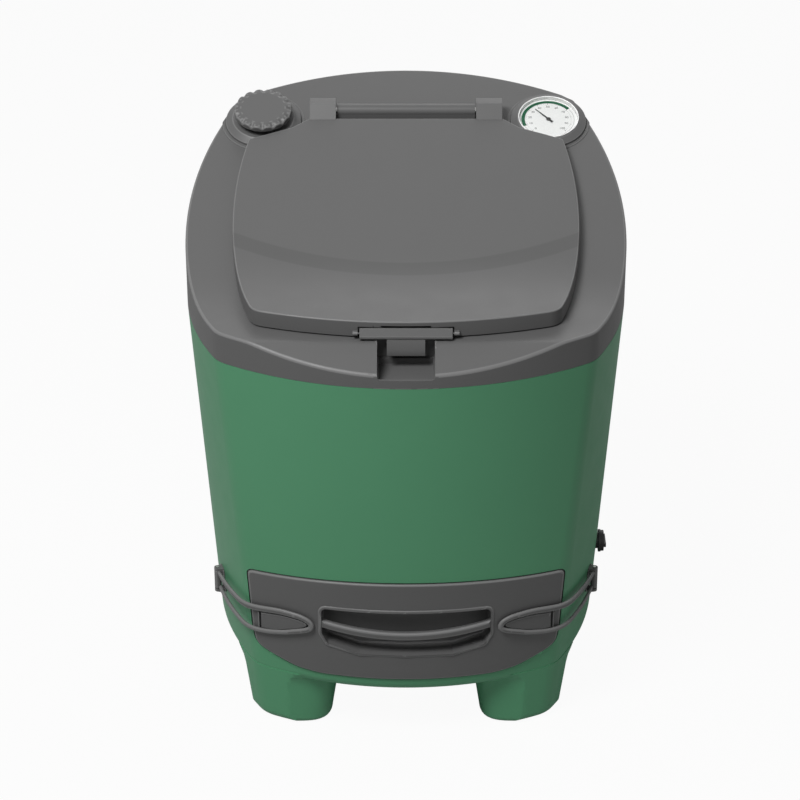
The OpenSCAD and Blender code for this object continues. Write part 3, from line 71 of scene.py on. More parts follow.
def adders(tree):
    """Two functions that add to a tree: a node with its inputs in order, and a calculation."""
    def node(kind, *values, **settings):
        n = tree.nodes.new(kind)
        for k, v in settings.items():
            setattr(n, k, v)
        for socket, v in zip([i for i in n.inputs if i.enabled], values):
            if isinstance(v, bpy.types.NodeSocket):
                tree.links.new(v, socket)
            elif v is not None:
                socket.default_value = v
        return n

    def calc(how, *values):
        return node("ShaderNodeMath", *values, operation=how).outputs[0]
    return node, calc


def noise(place, scale, detail=3.0, roughness=0.5):
    node, _ = adders(place.id_data)
    return node("ShaderNodeTexNoise", place, float(scale), float(detail), roughness).outputs["Fac"]


def spread(value, low, high, to_low, to_high):
    """One range of values carried over to another."""
    node, _ = adders(value.id_data)
    return node("ShaderNodeMapRange", value, low, high, to_low, to_high).outputs["Result"]


def two_tones(value, dark, light, **settings):
    """A colour between two, by a value."""
    node, _ = adders(value.id_data)
    tones = [c if isinstance(c, bpy.types.NodeSocket) else (*c, 1) for c in (dark, light)]
    return node("ShaderNodeMix", value, *tones, data_type="RGBA", **settings).outputs[2]


def wire(value, shader, socket):
    value.id_data.links.new(value, shader.inputs[socket])


def piece(name, verts, faces, material):
    """A piece from points in millimetres and faces."""
    mesh = bpy.data.meshes.new(name)
    points = [(x / 1000, y / 1000, z / 1000) for x, y, z in verts]
    mesh.from_pydata(points, [], [tuple(f) for f in faces])
    mesh.update()
    o = bpy.data.objects.new(name, mesh)
    bpy.context.scene.collection.objects.link(o)
    mesh.materials.append(material)
    return o


floor_paint, tree, shader, place = new_material("floor_paint")
wire(two_tones(noise(place, 1.5), (0.44, 0.44, 0.44), (0.46, 0.46, 0.46)), shader, "Base Color")
shader.inputs["Roughness"].default_value = 0.8
node, calc = adders(tree)
share = calc("MULTIPLY", tree.nodes.new("ShaderNodeLightPath").outputs["Is Camera Ray"], FLOOR_WHITE)
white = node("ShaderNodeEmission", None, 1.0).outputs[0]
seen_floor = node("ShaderNodeMixShader", share, shader.outputs["BSDF"], white).outputs[0]
tree.links.new(seen_floor, tree.nodes["Material Output"].inputs["Surface"])
FLOOR_HALF_W, FLOOR_FRONT, FLOOR_REAR = 12000, -8000, 24000
floor = piece("studio_floor", [(-FLOOR_HALF_W, FLOOR_FRONT, 0), (FLOOR_HALF_W, FLOOR_FRONT, 0),
                               (FLOOR_HALF_W, FLOOR_REAR, 0), (-FLOOR_HALF_W, FLOOR_REAR, 0)],
              [(0, 1, 2, 3)], floor_paint)
floor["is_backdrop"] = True

# Light of the studio: an even white surround and three large soft lamps, and the
# camera of the photograph, a long lens that looks down by 28 degrees.
world = bpy.data.worlds.new("studio_surround")
bpy.context.scene.world = world
world.use_nodes = True
tree = world.node_tree
node, calc = adders(tree)
surround = tree.nodes["Background"]
surround.inputs["Color"].default_value = (1, 1, 1, 1)
surround.inputs["Strength"].default_value = 0.18
seen = node("ShaderNodeBackground", (1, 1, 1, 1), 1.0).outputs[0]
rays = tree.nodes.new("ShaderNodeLightPath").outputs
straight = calc("MAXIMUM", rays["Is Camera Ray"], rays["Is Glossy Ray"])
straight = calc("MAXIMUM", straight, rays["Is Transmission Ray"])
mixed = node("ShaderNodeMixShader", straight, surround.outputs[0], seen).outputs[0]
tree.links.new(mixed, tree.nodes["World Output"].inputs["Surface"])


def lamp(name, at, to, size, power):
    data = bpy.data.lights.new(name, "AREA")
    data.shape = "SQUARE"
    data.size = size
    data.energy = power
    o = bpy.data.objects.new(name, data)
    bpy.context.scene.collection.objects.link(o)
    o.location = at
    o.rotation_euler = (Vector(to) - Vector(at)).to_track_quat("-Z", "Y").to_euler()


lamp("lamp_key_left", (-1.5, -2.15, 4.2), (0, 0, 0.45), 1.6, 188)
lamp("lamp_fill_right", (3.2, -2.2, 1.6), (0, 0, 0.45), 2.2, 6)
lamp("lamp_rear", (0.3, 2.4, 2.9), (0, 0, 0.8), 1.6, 12)

lens = bpy.data.cameras.new("photo_camera")
lens.lens = 117
lens.sensor_width = 36
lens.shift_x = -0.0075
lens.clip_end = 100
camera = bpy.data.objects.new("photo_camera", lens)
bpy.context.scene.collection.objects.link(camera)
camera.location = (0, -3.99739, 2.60909)
camera.rotation_euler = (radians(62), 0, 0)
bpy.context.scene.camera = camera
bpy.context.scene.view_settings.view_transform = "Standard"

# Outer shell: the green tub with its four feet, moulded in one piece of polyethylene
# with a satin orange-peel grain, a bowed plan that narrows downwards, and an opening
# for the hatch low in its front wall.
BODY_W, PARTING_Z, BASE_Z, WALL_LEAN = 740, 699, 97, tan(radians(3.77))
FRONT_R, REAR_R, SIDE_R, SIDE_R_BASE, CORNER_R = 525, 650, 600, 500, 60
SHELL_T, BASE_EDGE_R = 5, 20


def bumps(height, strength, depth):
    n = height.id_data.nodes.new("ShaderNodeBump")
    n.inputs["Strength"].default_value = strength
    n.inputs["Distance"].default_value = depth
    height.id_data.links.new(height, n.inputs["Height"])
    return n.outputs["Normal"]


def moulded(name, colour, rough=0.42, grain=0.22, cloud=0.025):
    """Satin moulded plastic: cloudy colour, uneven gloss, fine orange-peel grain, and a painted
    highlight on narrow outward roundings.
    """
    m, tree, shader, place = new_material(name)
    tones = [[c * (1 + way * cloud) for c in colour] for way in (-1, 1)]
    base = two_tones(noise(place, 7, 4, 0.6), *tones)
    # Painted highlight: faces marked by the edge finish get a colour 1.55 times lighter, in place of
    # the light that rounded edges catch.
    edge = tree.nodes.new("ShaderNodeAttribute")
    edge.attribute_name = "painted_highlight"
    wire(two_tones(edge.outputs["Fac"], base, [min(1, c * 1.55) for c in colour]), shader, "Base Color")
    wire(spread(noise(place, 22), 0.3, 0.7, rough - 0.02, rough + 0.03), shader, "Roughness")
    shader.inputs["Specular IOR Level"].default_value = 0.3
    wire(bumps(noise(place, 650, 2), grain, 0.0004), shader, "Normal")
    return m


def quarter(w, d, rf, rs, rc, steps):
    """A quarter of a plan outline: a front arc, a corner arc and a side arc that meet smoothly."""
    fy, sx, a, b = rf - d, w - rs, rf - rc, rs - rc
    l = hypot(sx, fy)
    ux, uy, t = sx / l, -fy / l, (a * a - b * b + l * l) / (2 * l)
    h = sqrt(a * a - t * t)
    cx, cy = t * ux - h * uy, fy + t * uy + h * ux
    af, as_ = atan2(cy - fy, cx), atan2(cy, cx - sx)
    q = [(rf * cos(v), fy + rf * sin(v)) for v in np.linspace(-pi / 2, af, steps[0] + 1)]
    q += [(cx + rc * cos(v), cy + rc * sin(v)) for v in np.linspace(af, as_, steps[1] + 1)[1:]]
    return q + [(sx + rs * cos(v), rs * sin(v)) for v in np.linspace(as_, 0, steps[2] + 1)[1:]]


def quarter_turn(n):
    """Angles over a quarter of a circle."""
    return np.linspace(0, pi / 2, n)


def half_at(z):
    return BODY_W / 2 - (PARTING_Z - z) * WALL_LEAN


def body_plan(z, inset, steps=(20, 10, 16)):
    """Plan outline of the body at a height, from the middle of the front, moved inwards."""
    w = half_at(z) - inset
    rs = SIDE_R_BASE + (SIDE_R - SIDE_R_BASE) * (z - BASE_Z) / (PARTING_Z - BASE_Z) - inset
    rc = max(CORNER_R - inset, SHELL_T)
    f, r = (quarter(w, w, bow - inset, rs, rc, steps) for bow in (FRONT_R, REAR_R))
    return (f + [(x, -y) for x, y in r[-2::-1]] + [(-x, -y) for x, y in r[1:]]
            + [(-x, y) for x, y in f[-2:0:-1]])


def rings(loops, first=False, last=False):
    """Points and faces of a wall through closed loops, with or without end faces."""
    n = len(loops[0])
    verts = [p for l in loops for p in l]
    faces = [(j * n + i, j * n + (i + 1) % n, (j + 1) * n + (i + 1) % n, (j + 1) * n + i)
             for j in range(len(loops) - 1) for i in range(n)]
    if first:
        faces.append(tuple(range(n - 1, -1, -1)))
    if last:
        faces.append(tuple(range(len(verts) - n, len(verts))))
    return verts, faces


def settle(o, *modifiers):
    """Apply modifiers, each a type and its settings, and leave a plain mesh."""
    for kind, settings in modifiers:
        m = o.modifiers.new(kind, kind)
        for k, v in settings.items():
            setattr(m, k, v)
    bpy.context.view_layer.update()
    mesh = bpy.data.meshes.new_from_object(o.evaluated_get(bpy.context.evaluated_depsgraph_get()))
    mesh.name = o.name
    o.modifiers.clear()
    o.data = mesh
    return o


def join(o, tool, how="UNION"):
    """Unite a piece with a closed form, or keep what lies in both."""
    settle(o, ("BOOLEAN", {"operation": how, "solver": "MANIFOLD", "object": tool}))
    bpy.data.objects.remove(tool)
    return o


def cut(o, tool):
    join(o, tool, "DIFFERENCE")


def finish_edges(o, width=0.0, angle=32, segments=2):
    """Round the sharp edges by a width in millimetres and shade the rest smooth."""
    if width:
        settle(o, ("BEVEL", {"width": width / 1000, "segments": segments, "limit_method": "ANGLE",
                             "angle_limit": radians(angle), "use_clamp_overlap": True}))
    o.data.shade_smooth()
    o.data.set_sharp_from_angle(angle=radians(angle))
    if width:
        settle(o, ("WEIGHTED_NORMAL", {"keep_sharp": True, "mode": "FACE_AREA"}))
    # Marks the narrow roundings that get the painted highlight.
    mark_painted_highlights(o)
    return o


def mark_painted_highlights(o, narrow=2.6, turn=8):
    """Mark the narrow faces of outward roundings for the painted highlight that makes them a little
    lighter.
    """
    bm = bmesh.new()
    bm.from_mesh(o.data)
    mark = bm.faces.layers.float.new("painted_highlight")
    for f in bm.faces:
        long = max(e.calc_length() for e in f.edges)
        if len(f.verts) == 4 and f.calc_area() / long * 1000 < narrow:
            bends = [e for e in f.edges if len(e.link_faces) == 2 and e.calc_length() > long * 0.5
                     and e.calc_face_angle_signed(0) > radians(turn)]
            f[mark] = 1 if bends else 0
    bm.to_mesh(o.data)
    bm.free()


def loft(name, loops, material):
    v, f = rings(loops, True, True)
    return piece(name, v, f, material)


green_plastic = moulded("green_plastic", (0.078, 0.26, 0.136))


def tub(name, inset, z0, z1, edge, material, levels=24):
    q = [(z0 + edge * (1 - cos(a)), inset + edge * (1 - sin(a)))
         for a in quarter_turn(8)[:-1]] if edge > 0 else []
    q += [(z, inset) for z in np.linspace(z0 + edge, z1, levels)]
    return loft(name, [[(x, y, z) for x, y in body_plan(z, i)] for z, i in q], material)


def around(n):
    """Angles once round a circle."""
    return np.linspace(0, 2 * pi, n, endpoint=False)


FOOT_X, FOOT_Y, FOOT_HALF_W, FOOT_HALF_D = 197, 215, 70, 69
FOOT_EDGE_R, FOOT_H, FOOT_SQUARE = 12, 99, 3.6


def foot_ring(hx, hy, z, sx, sy):
    """A rounded square round a foot's middle."""
    out = []
    for a in around(64):
        k = (abs(cos(a)) ** FOOT_SQUARE + abs(sin(a)) ** FOOT_SQUARE) ** (-1 / FOOT_SQUARE)
        out.append((sx * FOOT_X + hx * k * cos(a), sy * FOOT_Y + hy * k * sin(a), z))
    return out


def foot(sx, sy):
    """A foot that widens upwards and flares into the tub's belly."""
    loops = []
    for a in quarter_turn(8):
        e = FOOT_EDGE_R * (1 - sin(a))
        loops.append(foot_ring(FOOT_HALF_W - e, FOOT_HALF_D - e, FOOT_EDGE_R * (1 - cos(a)), sx, sy))
    for t in np.linspace(0, 1, 9)[1:]:
        flare = 9 * max(0, (t - 0.78) / 0.22) ** 2
        loops.append(foot_ring(FOOT_HALF_W + 15 * t + flare, FOOT_HALF_D + 6 * t + flare,
                               FOOT_EDGE_R + FOOT_H * t, sx, sy))
    return loft("foot", loops, green_plastic)


outer_shell = tub("outer_shell_skin", 0, BASE_Z, PARTING_Z, BASE_EDGE_R, green_plastic)
for sx in (-1, 1):
    for sy in (-1, 1):
        f = foot(sx, sy)
        join(f, tub("limit", 0, 0, 140, 18, green_plastic, 6), "INTERSECT")
        join(outer_shell, f)
cut(outer_shell, tub("room", SHELL_T, BASE_Z + SHELL_T, PARTING_Z + 5, BASE_EDGE_R - SHELL_T,
                     green_plastic))
# The hatch opening: an arched outline whose lower corners are cut back.
HATCH_HALF_W, HATCH_TOP, HATCH_BOTTOM, HATCH_ARCH_R, HATCH_GAP = 267, 322, 126, 2300, 2


def spline(points, step=5.0):
    """An even, smooth line through points."""
    p = np.array(points, float)
    p = np.vstack([2 * p[0] - p[1], p, 2 * p[-1] - p[-2]])
    out = []
    for i in range(1, len(p) - 2):
        n = max(2, int(np.linalg.norm(p[i + 1] - p[i]) / step))
        for t in np.linspace(0, 1, n, endpoint=False):
            a, b, c, d = p[i - 1], p[i], p[i + 1], p[i + 2]
            out.append(0.5 * (2 * b + (c - a) * t + (2 * a - 5 * b + 4 * c - d) * t * t
                              + (3 * b - a - 3 * c + d) * t ** 3))
    out.append(p[-2])
    return out


def corner(a, b, c, r, n=6):
    """Points that round the corner b between a and c."""
    a, b, c = (np.array(v, float) for v in (a, b, c))
    u, v = (a - b) / np.linalg.norm(a - b), (c - b) / np.linalg.norm(c - b)
    half = acos(max(-1, min(1, u @ v))) / 2
    mid = b + (u + v) / np.linalg.norm(u + v) * r / sin(half)
    s, e = b + u * r / tan(half) - mid, b + v * r / tan(half) - mid
    turn = atan2(s[0] * e[1] - s[1] * e[0], s @ e)
    return [mid + np.array([s[0] * cos(t) - s[1] * sin(t), s[0] * sin(t) + s[1] * cos(t)])
            for t in np.linspace(0, turn, n)]


def offset(loop, d):
    """A closed outline moved outwards; the outline runs anticlockwise."""
    p = np.array(loop, float)
    t = np.roll(p, -1, 0) - np.roll(p, 1, 0)
    t /= np.maximum(np.linalg.norm(t, axis=1), 1e-9)[:, None]
    return p + d * np.stack([t[:, 1], -t[:, 0]], 1)


def both_sides(half):
    """A closed outline from its right half, which runs from the lower to the upper middle."""
    return np.array(list(half) + [(-x, z) for x, z in half[::-1] if x > 1e-6])


def hatch_outline():
    shares = [(0, 0), (0.2, 0), (0.42, 0), (0.55, 0.0), (0.675, 0.02), (0.74, 0.045), (0.805, 0.078),
              (0.868, 0.113), (0.92, 0.148), (0.957, 0.2), (0.975, 0.34)]
    low = spline([(a * HATCH_HALF_W, HATCH_BOTTOM + b * (HATCH_TOP - HATCH_BOTTOM))
                  for a, b in shares])
    arch = [(x, HATCH_TOP - HATCH_ARCH_R + sqrt(HATCH_ARCH_R ** 2 - x * x))
            for x in np.linspace(HATCH_HALF_W, 0, 40)]
    side = [low[-1] + (np.array(arch[0]) - low[-1]) * t for t in np.linspace(0, 1, 14)[:-2]]
    side += corner(side[-1], arch[0], arch[3], 11)
    return both_sides(low[:-1] + side + [np.array(p) for p in arch[4:]])


HATCH = hatch_outline()


def prism(name, outline, y0, y1, material):
    """A straight form along Y from an outline in X and Z."""
    return loft(name, [[(x, y, z) for x, z in outline] for y in (y0, y1)], material)


cut(outer_shell, prism("opening", offset(HATCH, HATCH_GAP), -185, -450, green_plastic))
finish_edges(outer_shell, 1.2, 40)
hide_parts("outer_shell")
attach(outer_shell, "body")


# Wall and base insulation: polyurethane foam between the tub's skin and its liner, foamed in
# place round the hatch frame, so that it has no fixings of its own.
def foamed(name, colour):
    """Cut foam: small cells of two tones that stand out a little."""
    m, tree, shader, place = new_material(name)
    node, _ = adders(tree)
    cells = node("ShaderNodeTexVoronoi", place, 240.0).outputs["Distance"]
    tone = spread(cells, 0.1, 0.7, 0, 1)
    wire(two_tones(tone, [c * 0.8 for c in colour], colour), shader, "Base Color")
    wire(spread(noise(place, 60), 0.3, 0.7, 0.85, 0.95), shader, "Roughness")
    wire(bumps(cells, 0.6, 0.001), shader, "Normal")
    return m


def dress(material, *names):
    """Give carried-over pieces their material."""
    for n in names:
        nodes[n].data.materials.clear()
        nodes[n].data.materials.append(material)


foam = foamed("foam_cells", (0.62, 0.53, 0.33))
dress(foam, "wall_insulation", "base_insulation")

# Inner liner: the grey tub that holds the compost, blow moulded from polyethylene and
# welded to the outer skin's rim.
light_grey = moulded("light_grey_plastic", (0.33, 0.335, 0.33), 0.5, 0.3)
dress(light_grey, "inner_liner")

# Seepage tray: a shallow moulded tray that lies on the liner's floor under the grate and
# leads the liquid to the drain.
dress(light_grey, "seepage_tray")

# Floor grate: a black moulded plate with slots that lets air in and liquid out, laid on the
# tray's rim.
black_plastic = moulded("black_plastic", (0.022, 0.022, 0.023), 0.4, 0.2, 0.05)
dress(black_plastic, "floor_grate")

# Hatch frame: the moulded tunnel of the emptying opening, from the tub's skin to its liner,
# bonded to both.
dress(black_plastic, "hatch_frame")

# Air duct, intake pipe and valve: a flat channel under the floor, a pipe with a ported flange
# on the right-hand wall, and the disc with a grip that turns on it to let air in.
dress(black_plastic, "air_duct", "intake_pipe", "intake_valve")

# Drain: a pipe through the rear wall, bonded to the tray's outlet, with a cap pushed on.
dress(black_plastic, "drain_pipe", "drain_cap")

# Cover: the dark moulded skin that lies on the tub's rim. Its top falls from the rear to a
# crease near the front; it carries the latch recess, the collar of the filling opening, the
# hinge barrel with its gutters, and the two round bosses behind the lid's corners.
dark_grey = moulded("dark_grey_plastic", (0.1, 0.1, 0.1))
COVER_RISE, DECK_SLOPE, BEND_START_Y, BEND_END_Y, CREASE_Y = 255, 0.3750787, -100, -240, -305
DECK_LOW, COVER_T, BEVEL_FALL = 52.4575, 5, tan(radians(25))


def deck(y):
    """Height of the cover's top above the parting line."""
    y = np.asarray(y, float)
    return np.where(y >= BEND_START_Y, COVER_RISE - DECK_SLOPE * (BODY_W / 2 - y),
                    DECK_LOW + DECK_SLOPE * np.maximum(y - BEND_END_Y, 0) ** 2 / 280)


def deck_top(y):
    """The same with the soft crease and the bevel that falls to the front edge."""
    d = CREASE_Y - np.asarray(y, float)
    return deck(y) - BEVEL_FALL * (d + np.hypot(d, 5)) / 2


def inside(pts, loop):
    x, y = pts[:, 0], pts[:, 1]
    hit = np.zeros(len(pts), bool)
    for (x0, y0), (x1, y1) in zip(loop, np.roll(loop, -1, 0)):
        if y0 != y1:
            hit ^= ((y0 > y) != (y1 > y)) & (x < (x1 - x0) * (y - y0) / (y1 - y0) + x0)
    return hit


def fill(loop, step, lines=()):
    """Triangles over the inside of a closed outline, on an even grid; lines are kept as edges."""
    loop = np.asarray(loop, float)
    lo, hi = loop.min(0), loop.max(0)
    gx, gy = np.meshgrid(*(np.arange(lo[k] + step / 3, hi[k], step) for k in (0, 1)))
    grid = np.stack([gx.ravel(), gy.ravel()], 1)
    grid = grid[inside(grid, loop)]
    keep = np.vstack([loop] + [np.asarray(l, float) for l in lines])
    near = np.min(((grid[:, None] - keep[None]) ** 2).sum(2), 1) if len(grid) else np.zeros(0)
    grid = grid[near > (0.55 * step) ** 2]
    pts = np.vstack([loop, grid])
    edges = []
    for l in lines:
        base = len(pts)
        pts = np.vstack([pts, l])
        edges += [(base + i, base + i + 1) for i in range(len(l) - 1)]
    v, _, f, *_ = delaunay_2d_cdt([Vector(p) for p in pts], edges, [list(range(len(loop)))],
                                  0 if edges else 1, 1e-6)
    v = np.array([tuple(p) for p in v])
    if edges:
        middles = np.array([v[list(t)].mean(0) for t in f])
        f = [t for t, hit in zip(f, inside(middles, loop)) if hit]
    return v, [list(t) for t in f]


def welded(name, parts, material):
    """One closed piece from sheets whose edges meet."""
    verts, faces = [], []
    for v, f in parts:
        base = len(verts)
        verts += [tuple(p) for p in v]
        faces += [[base + i for i in t] for t in f]
    o = piece(name, verts, faces, material)
    bm = bmesh.new()
    bm.from_mesh(o.data)
    bmesh.ops.remove_doubles(bm, verts=bm.verts, dist=2e-5)
    bmesh.ops.dissolve_degenerate(bm, edges=bm.edges, dist=1e-6)
    bmesh.ops.recalc_face_normals(bm, faces=bm.faces)
    bm.to_mesh(o.data)
    bm.free()
    return o


def closed(name, loops):
    """A dark plastic form through loops, closed at both ends."""
    return welded(name, [rings(loops, True, True)], dark_grey)


def top_form(name, plan, low, high, edge, step, creases=(), foot=0.0, top=deck_top, level=False):
    """A closed form under a sloping top, over a level or a sloping base.

    Plan gives the outline at an inset; edge and foot are the roundings above and below."""
    loops = []
    for a in quarter_turn(4) if foot else [pi / 2]:
        rise = foot * (1 - cos(a)) if foot else 0
        loops.append([(x, y, (PARTING_Z + low if level else PARTING_Z + float(top(y)) + low) + rise)
                      for x, y in plan(foot * (1 - sin(a)))])
    for a in quarter_turn(7) if edge else [pi / 2]:
        p = plan(edge * (1 - cos(a)))
        loops.append([(x, y, PARTING_Z + float(top(y)) + high - edge * (1 - sin(a)))
                      for x, y in p])
    parts = [rings(loops)]
    for loop, above, lines, flat in ((loops[-1], high, creases, False), (loops[0], low, (), level)):
        p, t = fill(np.array([q[:2] for q in loop]), step, lines)
        z = PARTING_Z + (0 if flat else top(p[:, 1])) + above + np.zeros(len(p))
        parts.append((np.column_stack([p, z]), t))
    return welded(name, parts, dark_grey)


def cover_plan(inset):
    return body_plan(PARTING_Z, inset, (36, 12, 28))


CREASES = [[(k * (sqrt(FRONT_R ** 2 - (FRONT_R - BODY_W / 2 - y) ** 2) - 9), y)
            for k in np.linspace(-1, 1, 41)] for y in (-299, -302, -305, -308, -312)]


def cover_form(name, inset, drop, low, edge=0.0, step=14, foot=0.0, creases=()):
    return top_form(name, lambda more: cover_plan(inset + more), low, -drop, edge, step, creases,
                    foot, deck_top, True)


def cylinder_x(name, x0, x1, y, z, r, n=64):
    return loft(name, [[(x, y + r * cos(a), z + r * sin(a)) for a in around(n)] for x in (x0, x1)],
                dark_grey)


def block(name, x, y, z):
    """A straight block between x, y and z pairs."""
    base = ((x[0], y[0]), (x[1], y[0]), (x[1], y[1]), (x[0], y[1]))
    return loft(name, [[(a, b, c) for a, b in base] for c in z], dark_grey)


THROAT_HALF_W, THROAT_FRONT, THROAT_REAR, THROAT_R = 210, -190, 160, 40


def rounded_box(half_w, low, high, r, n):
    """Four corner arcs round centres at the given half width and between low and high."""
    out = []
    for cx, cy, a0 in ((half_w, low, -90), (half_w, high, 0), (-half_w, high, 90), (-half_w, low, 180)):
        out += [(cx + r * cos(a), cy + r * sin(a)) for a in np.radians(np.linspace(a0, a0 + 90, n))]
    return out


def throat_plan(grow):
    return rounded_box(THROAT_HALF_W - THROAT_R, THROAT_FRONT + THROAT_R, THROAT_REAR - THROAT_R,
                       THROAT_R + grow, 9)


BOSS_X, BOSS_Y, BOSS_TILT = 248.5, 240, atan(DECK_SLOPE)
BOSS_Z = PARTING_Z + COVER_RISE - DECK_SLOPE * (BODY_W / 2 - BOSS_Y)


def at_boss(side, points):
    """Points of a boss's own frame, square to the slope, put in place."""
    c, s = cos(BOSS_TILT), sin(BOSS_TILT)
    return [(side * BOSS_X + x, BOSS_Y + y * c - z * s, BOSS_Z + y * s + z * c) for x, y, z in points]


def turned(name, side, profile, material, n=96):
    """A turned form at a boss from a closed profile of radius and height; radius 0 closes it."""
    loops = [at_boss(side, [(r * cos(a), r * sin(a), z) for a in around(n)])
             for r, z in profile if r > 0]
    if profile[0][0] <= 0:
        return welded(name, [rings(loops, True, True)], material)
    return welded(name, [rings(loops + [loops[0]])], material)


def arc(r, z, bend, a0, a1, n=5):
    """Points of a small round in a turned profile."""
    return [(r + bend * cos(a), z + bend * sin(a)) for a in np.radians(np.linspace(a0, a1, n))]


HINGE_Y, HINGE_Z, KNUCKLE_R, ARM_X, KNUCKLE_W = 246, 925.006, 21.5, 122, 45
BARREL_R, BARREL_HALF, PIN_R = 12, 120, 5
top_cover = cover_form("top_cover_skin", 0, 0, 0, 4, foot=1.4, creases=CREASES)
cut(top_cover, cover_form("hollow", COVER_T, COVER_T, -8))
recess_wall = block("recess_wall", (-53.5, 53.5), (-380, -270), (PARTING_Z + 0.3, PARTING_Z + 90))
join(recess_wall, cover_form("limit", 0, 0, 0.3, 4), "INTERSECT")
join(top_cover, recess_wall)
# Collar of the filling opening, a wall of foam depth with a low rim round the mouth.
collar = [[(x, y, PARTING_Z + float(deck(y)) + z) for x, y in throat_plan(g)]
          for g, z in ((4, -31), (4, 2.2), (3.2, 3), (0, 3), (0, -31), (4, -31))]
collar = welded("collar", [rings(collar)], dark_grey)
mouth = [[(x, y, z) for x, y in throat_plan(0)] for z in (650, 1050)]
cut(top_cover, loft("mouth", mouth, dark_grey))
join(top_cover, collar)
# Bosses: a round flange, a small step and a dome that rises to the knob and to the dial.
boss_profile = [(0, -12), (72, -12), (72, 0.4)] + arc(70.9, 0.4, 1.1, 0, 90, 4)
boss_profile += [(67.2, 1.5), (66.6, 0.9), (66, 1.5), (65.8, 4.6)] + arc(64.2, 4.6, 1.6, 10, 64, 4)
boss_profile += [(60.2, 8.0), (56.5, 10.0), (54.6, 10.9), (53.6, 11.6), (52.6, 12), (0, 12)]
for side in (-1, 1):
    boss = turned("boss", side, boss_profile, dark_grey)
    limit = [[(x, y, z) for x, y in cover_plan(0.4)] for z in (820, 1000)]
    join(boss, loft("limit", limit, dark_grey), "INTERSECT")
    join(top_cover, boss)
# Hinge barrel on its narrow foot, and a gutter under each of the lid's two arms.
for x in (-ARM_X - KNUCKLE_W - 6, ARM_X - 6):
    gutter = cylinder_x("gutter", x, x + KNUCKLE_W + 12, HINGE_Y, HINGE_Z, KNUCKLE_R + 6)
    join(gutter, cover_form("limit", 2.5, 2.5, 60), "INTERSECT")
    join(top_cover, gutter)
join(top_cover, cylinder_x("barrel", -BARREL_HALF, BARREL_HALF, HINGE_Y, HINGE_Z, BARREL_R))
join(top_cover, block("barrel_foot", (-BARREL_HALF, BARREL_HALF), (HINGE_Y - 11.5, HINGE_Y + 6),
                      (HINGE_Z - 24, HINGE_Z)))
for x in (-ARM_X - KNUCKLE_W - 1, ARM_X - 1):
    cut(top_cover, cylinder_x("arm_room", x, x + KNUCKLE_W + 2, HINGE_Y, HINGE_Z, KNUCKLE_R + 1))
# Latch recess, open upwards at the front, with rounded lower corners.
RECESS_HALF, RECESS_Z = 46, 714
for y_back, z_top in ((-285, 739), (-291, 860)):
    low = corner((0, RECESS_Z), (RECESS_HALF, RECESS_Z), (RECESS_HALF, z_top), 6, 6)
    outline = [tuple(p) for p in low] + [(RECESS_HALF, z_top), (-RECESS_HALF, z_top)]
    outline += [(-x, z) for x, z in low[::-1]]
    cut(top_cover, prism("recess", outline, y_back, -420, dark_grey))
cut(top_cover, block("recess_well", (-44, 44), (-364, -291), (704.5, 720)))
# Bores for the vent pipe and its plate, and for the thermometer's case and its probe.
for side, r, z0 in ((-1, 18.1, -60), (-1, 24.3, 9), (1, 52.6, -2.1), (1, 4.6, -60)):
    cut(top_cover, turned("bore", side, [(0, z0), (r, z0), (r, 40), (0, 40)], dark_grey, 64))
finish_edges(top_cover, 0.7, 38)
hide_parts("top_cover")
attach(top_cover, "body")

# Cover insulation and inner pan: a foam sheet and the grey skin under it, held to the cover
# by eight screws. The hinge pins are pressed into the barrel.
def metal(name, colour, rough):
    """Drawn steel: fine streaks along the piece and an uneven gloss."""
    m, tree, shader, place = new_material(name)
    node, _ = adders(tree)
    grain = noise(node("ShaderNodeMapping", place, None, None, (30, 600, 600)).outputs[0], 1, 2)
    wire(two_tones(grain, [c * 0.85 for c in colour], colour), shader, "Base Color")
    wire(spread(grain, 0.3, 0.7, rough - 0.06, rough + 0.08), shader, "Roughness")
    shader.inputs["Metallic"].default_value = 1
    return m


dress(foam, "cover_insulation")
dress(light_grey, "cover_inner_pan")
steel = metal("bright_steel", (0.55, 0.55, 0.54), 0.32)
dress(steel, "cover_screws", "hinge_pins")

# Vent pipe: a black pipe with a ported plate at its top, pushed through the left boss.
dress(black_plastic, "vent_pipe")

# Ventilation knob: a moulded cap with sixteen scallops round its top edge, on a steel
# spindle. Turning it turns the ported shutter over the vent pipe's plate.
KNOB_R, KNOB_TOP, KNOB_LOW, KNOB_FLUTES = 50, 35, 23.4, 16


def nodes_tree(name, sizes):
    """A Geometry Nodes tree with named inputs for its sizes and one for the material."""
    tree = bpy.data.node_groups.new(name, "GeometryNodeTree")
    face = tree.interface
    face.new_socket("Geometry", in_out="INPUT", socket_type="NodeSocketGeometry")
    for k, v in sizes.items():
        kind = "NodeSocketInt" if isinstance(v, int) else "NodeSocketFloat"
        face.new_socket(k, in_out="INPUT", socket_type=kind).default_value = v
    face.new_socket("Material", in_out="INPUT", socket_type="NodeSocketMaterial")
    face.new_socket("Geometry", in_out="OUTPUT", socket_type="NodeSocketGeometry")
    return (tree, tree.nodes.new("NodeGroupInput").outputs, *adders(tree))


def end_tree(tree, given, shape):
    """Make a tree's instances real and give them the material."""
    node, _ = adders(tree)
    real = node("GeometryNodeRealizeInstances", shape).outputs[0]
    dressed = node("GeometryNodeSetMaterial", real, None, given["Material"]).outputs[0]
    tree.links.new(dressed, tree.nodes.new("NodeGroupOutput").inputs["Geometry"])


def grown(o, tree, sizes, material):
    """Run a tree on an object, leave a plain mesh and take the modifier off."""
    m = o.modifiers.new(tree.name, "NODES")
    m.node_group = tree
    for item in tree.interface.items_tree:
        if item.in_out == "INPUT" and item.name in sizes:
            m[item.identifier] = sizes[item.name]
        elif item.in_out == "INPUT" and item.name == "Material":
            m[item.identifier] = material
    return settle(o)


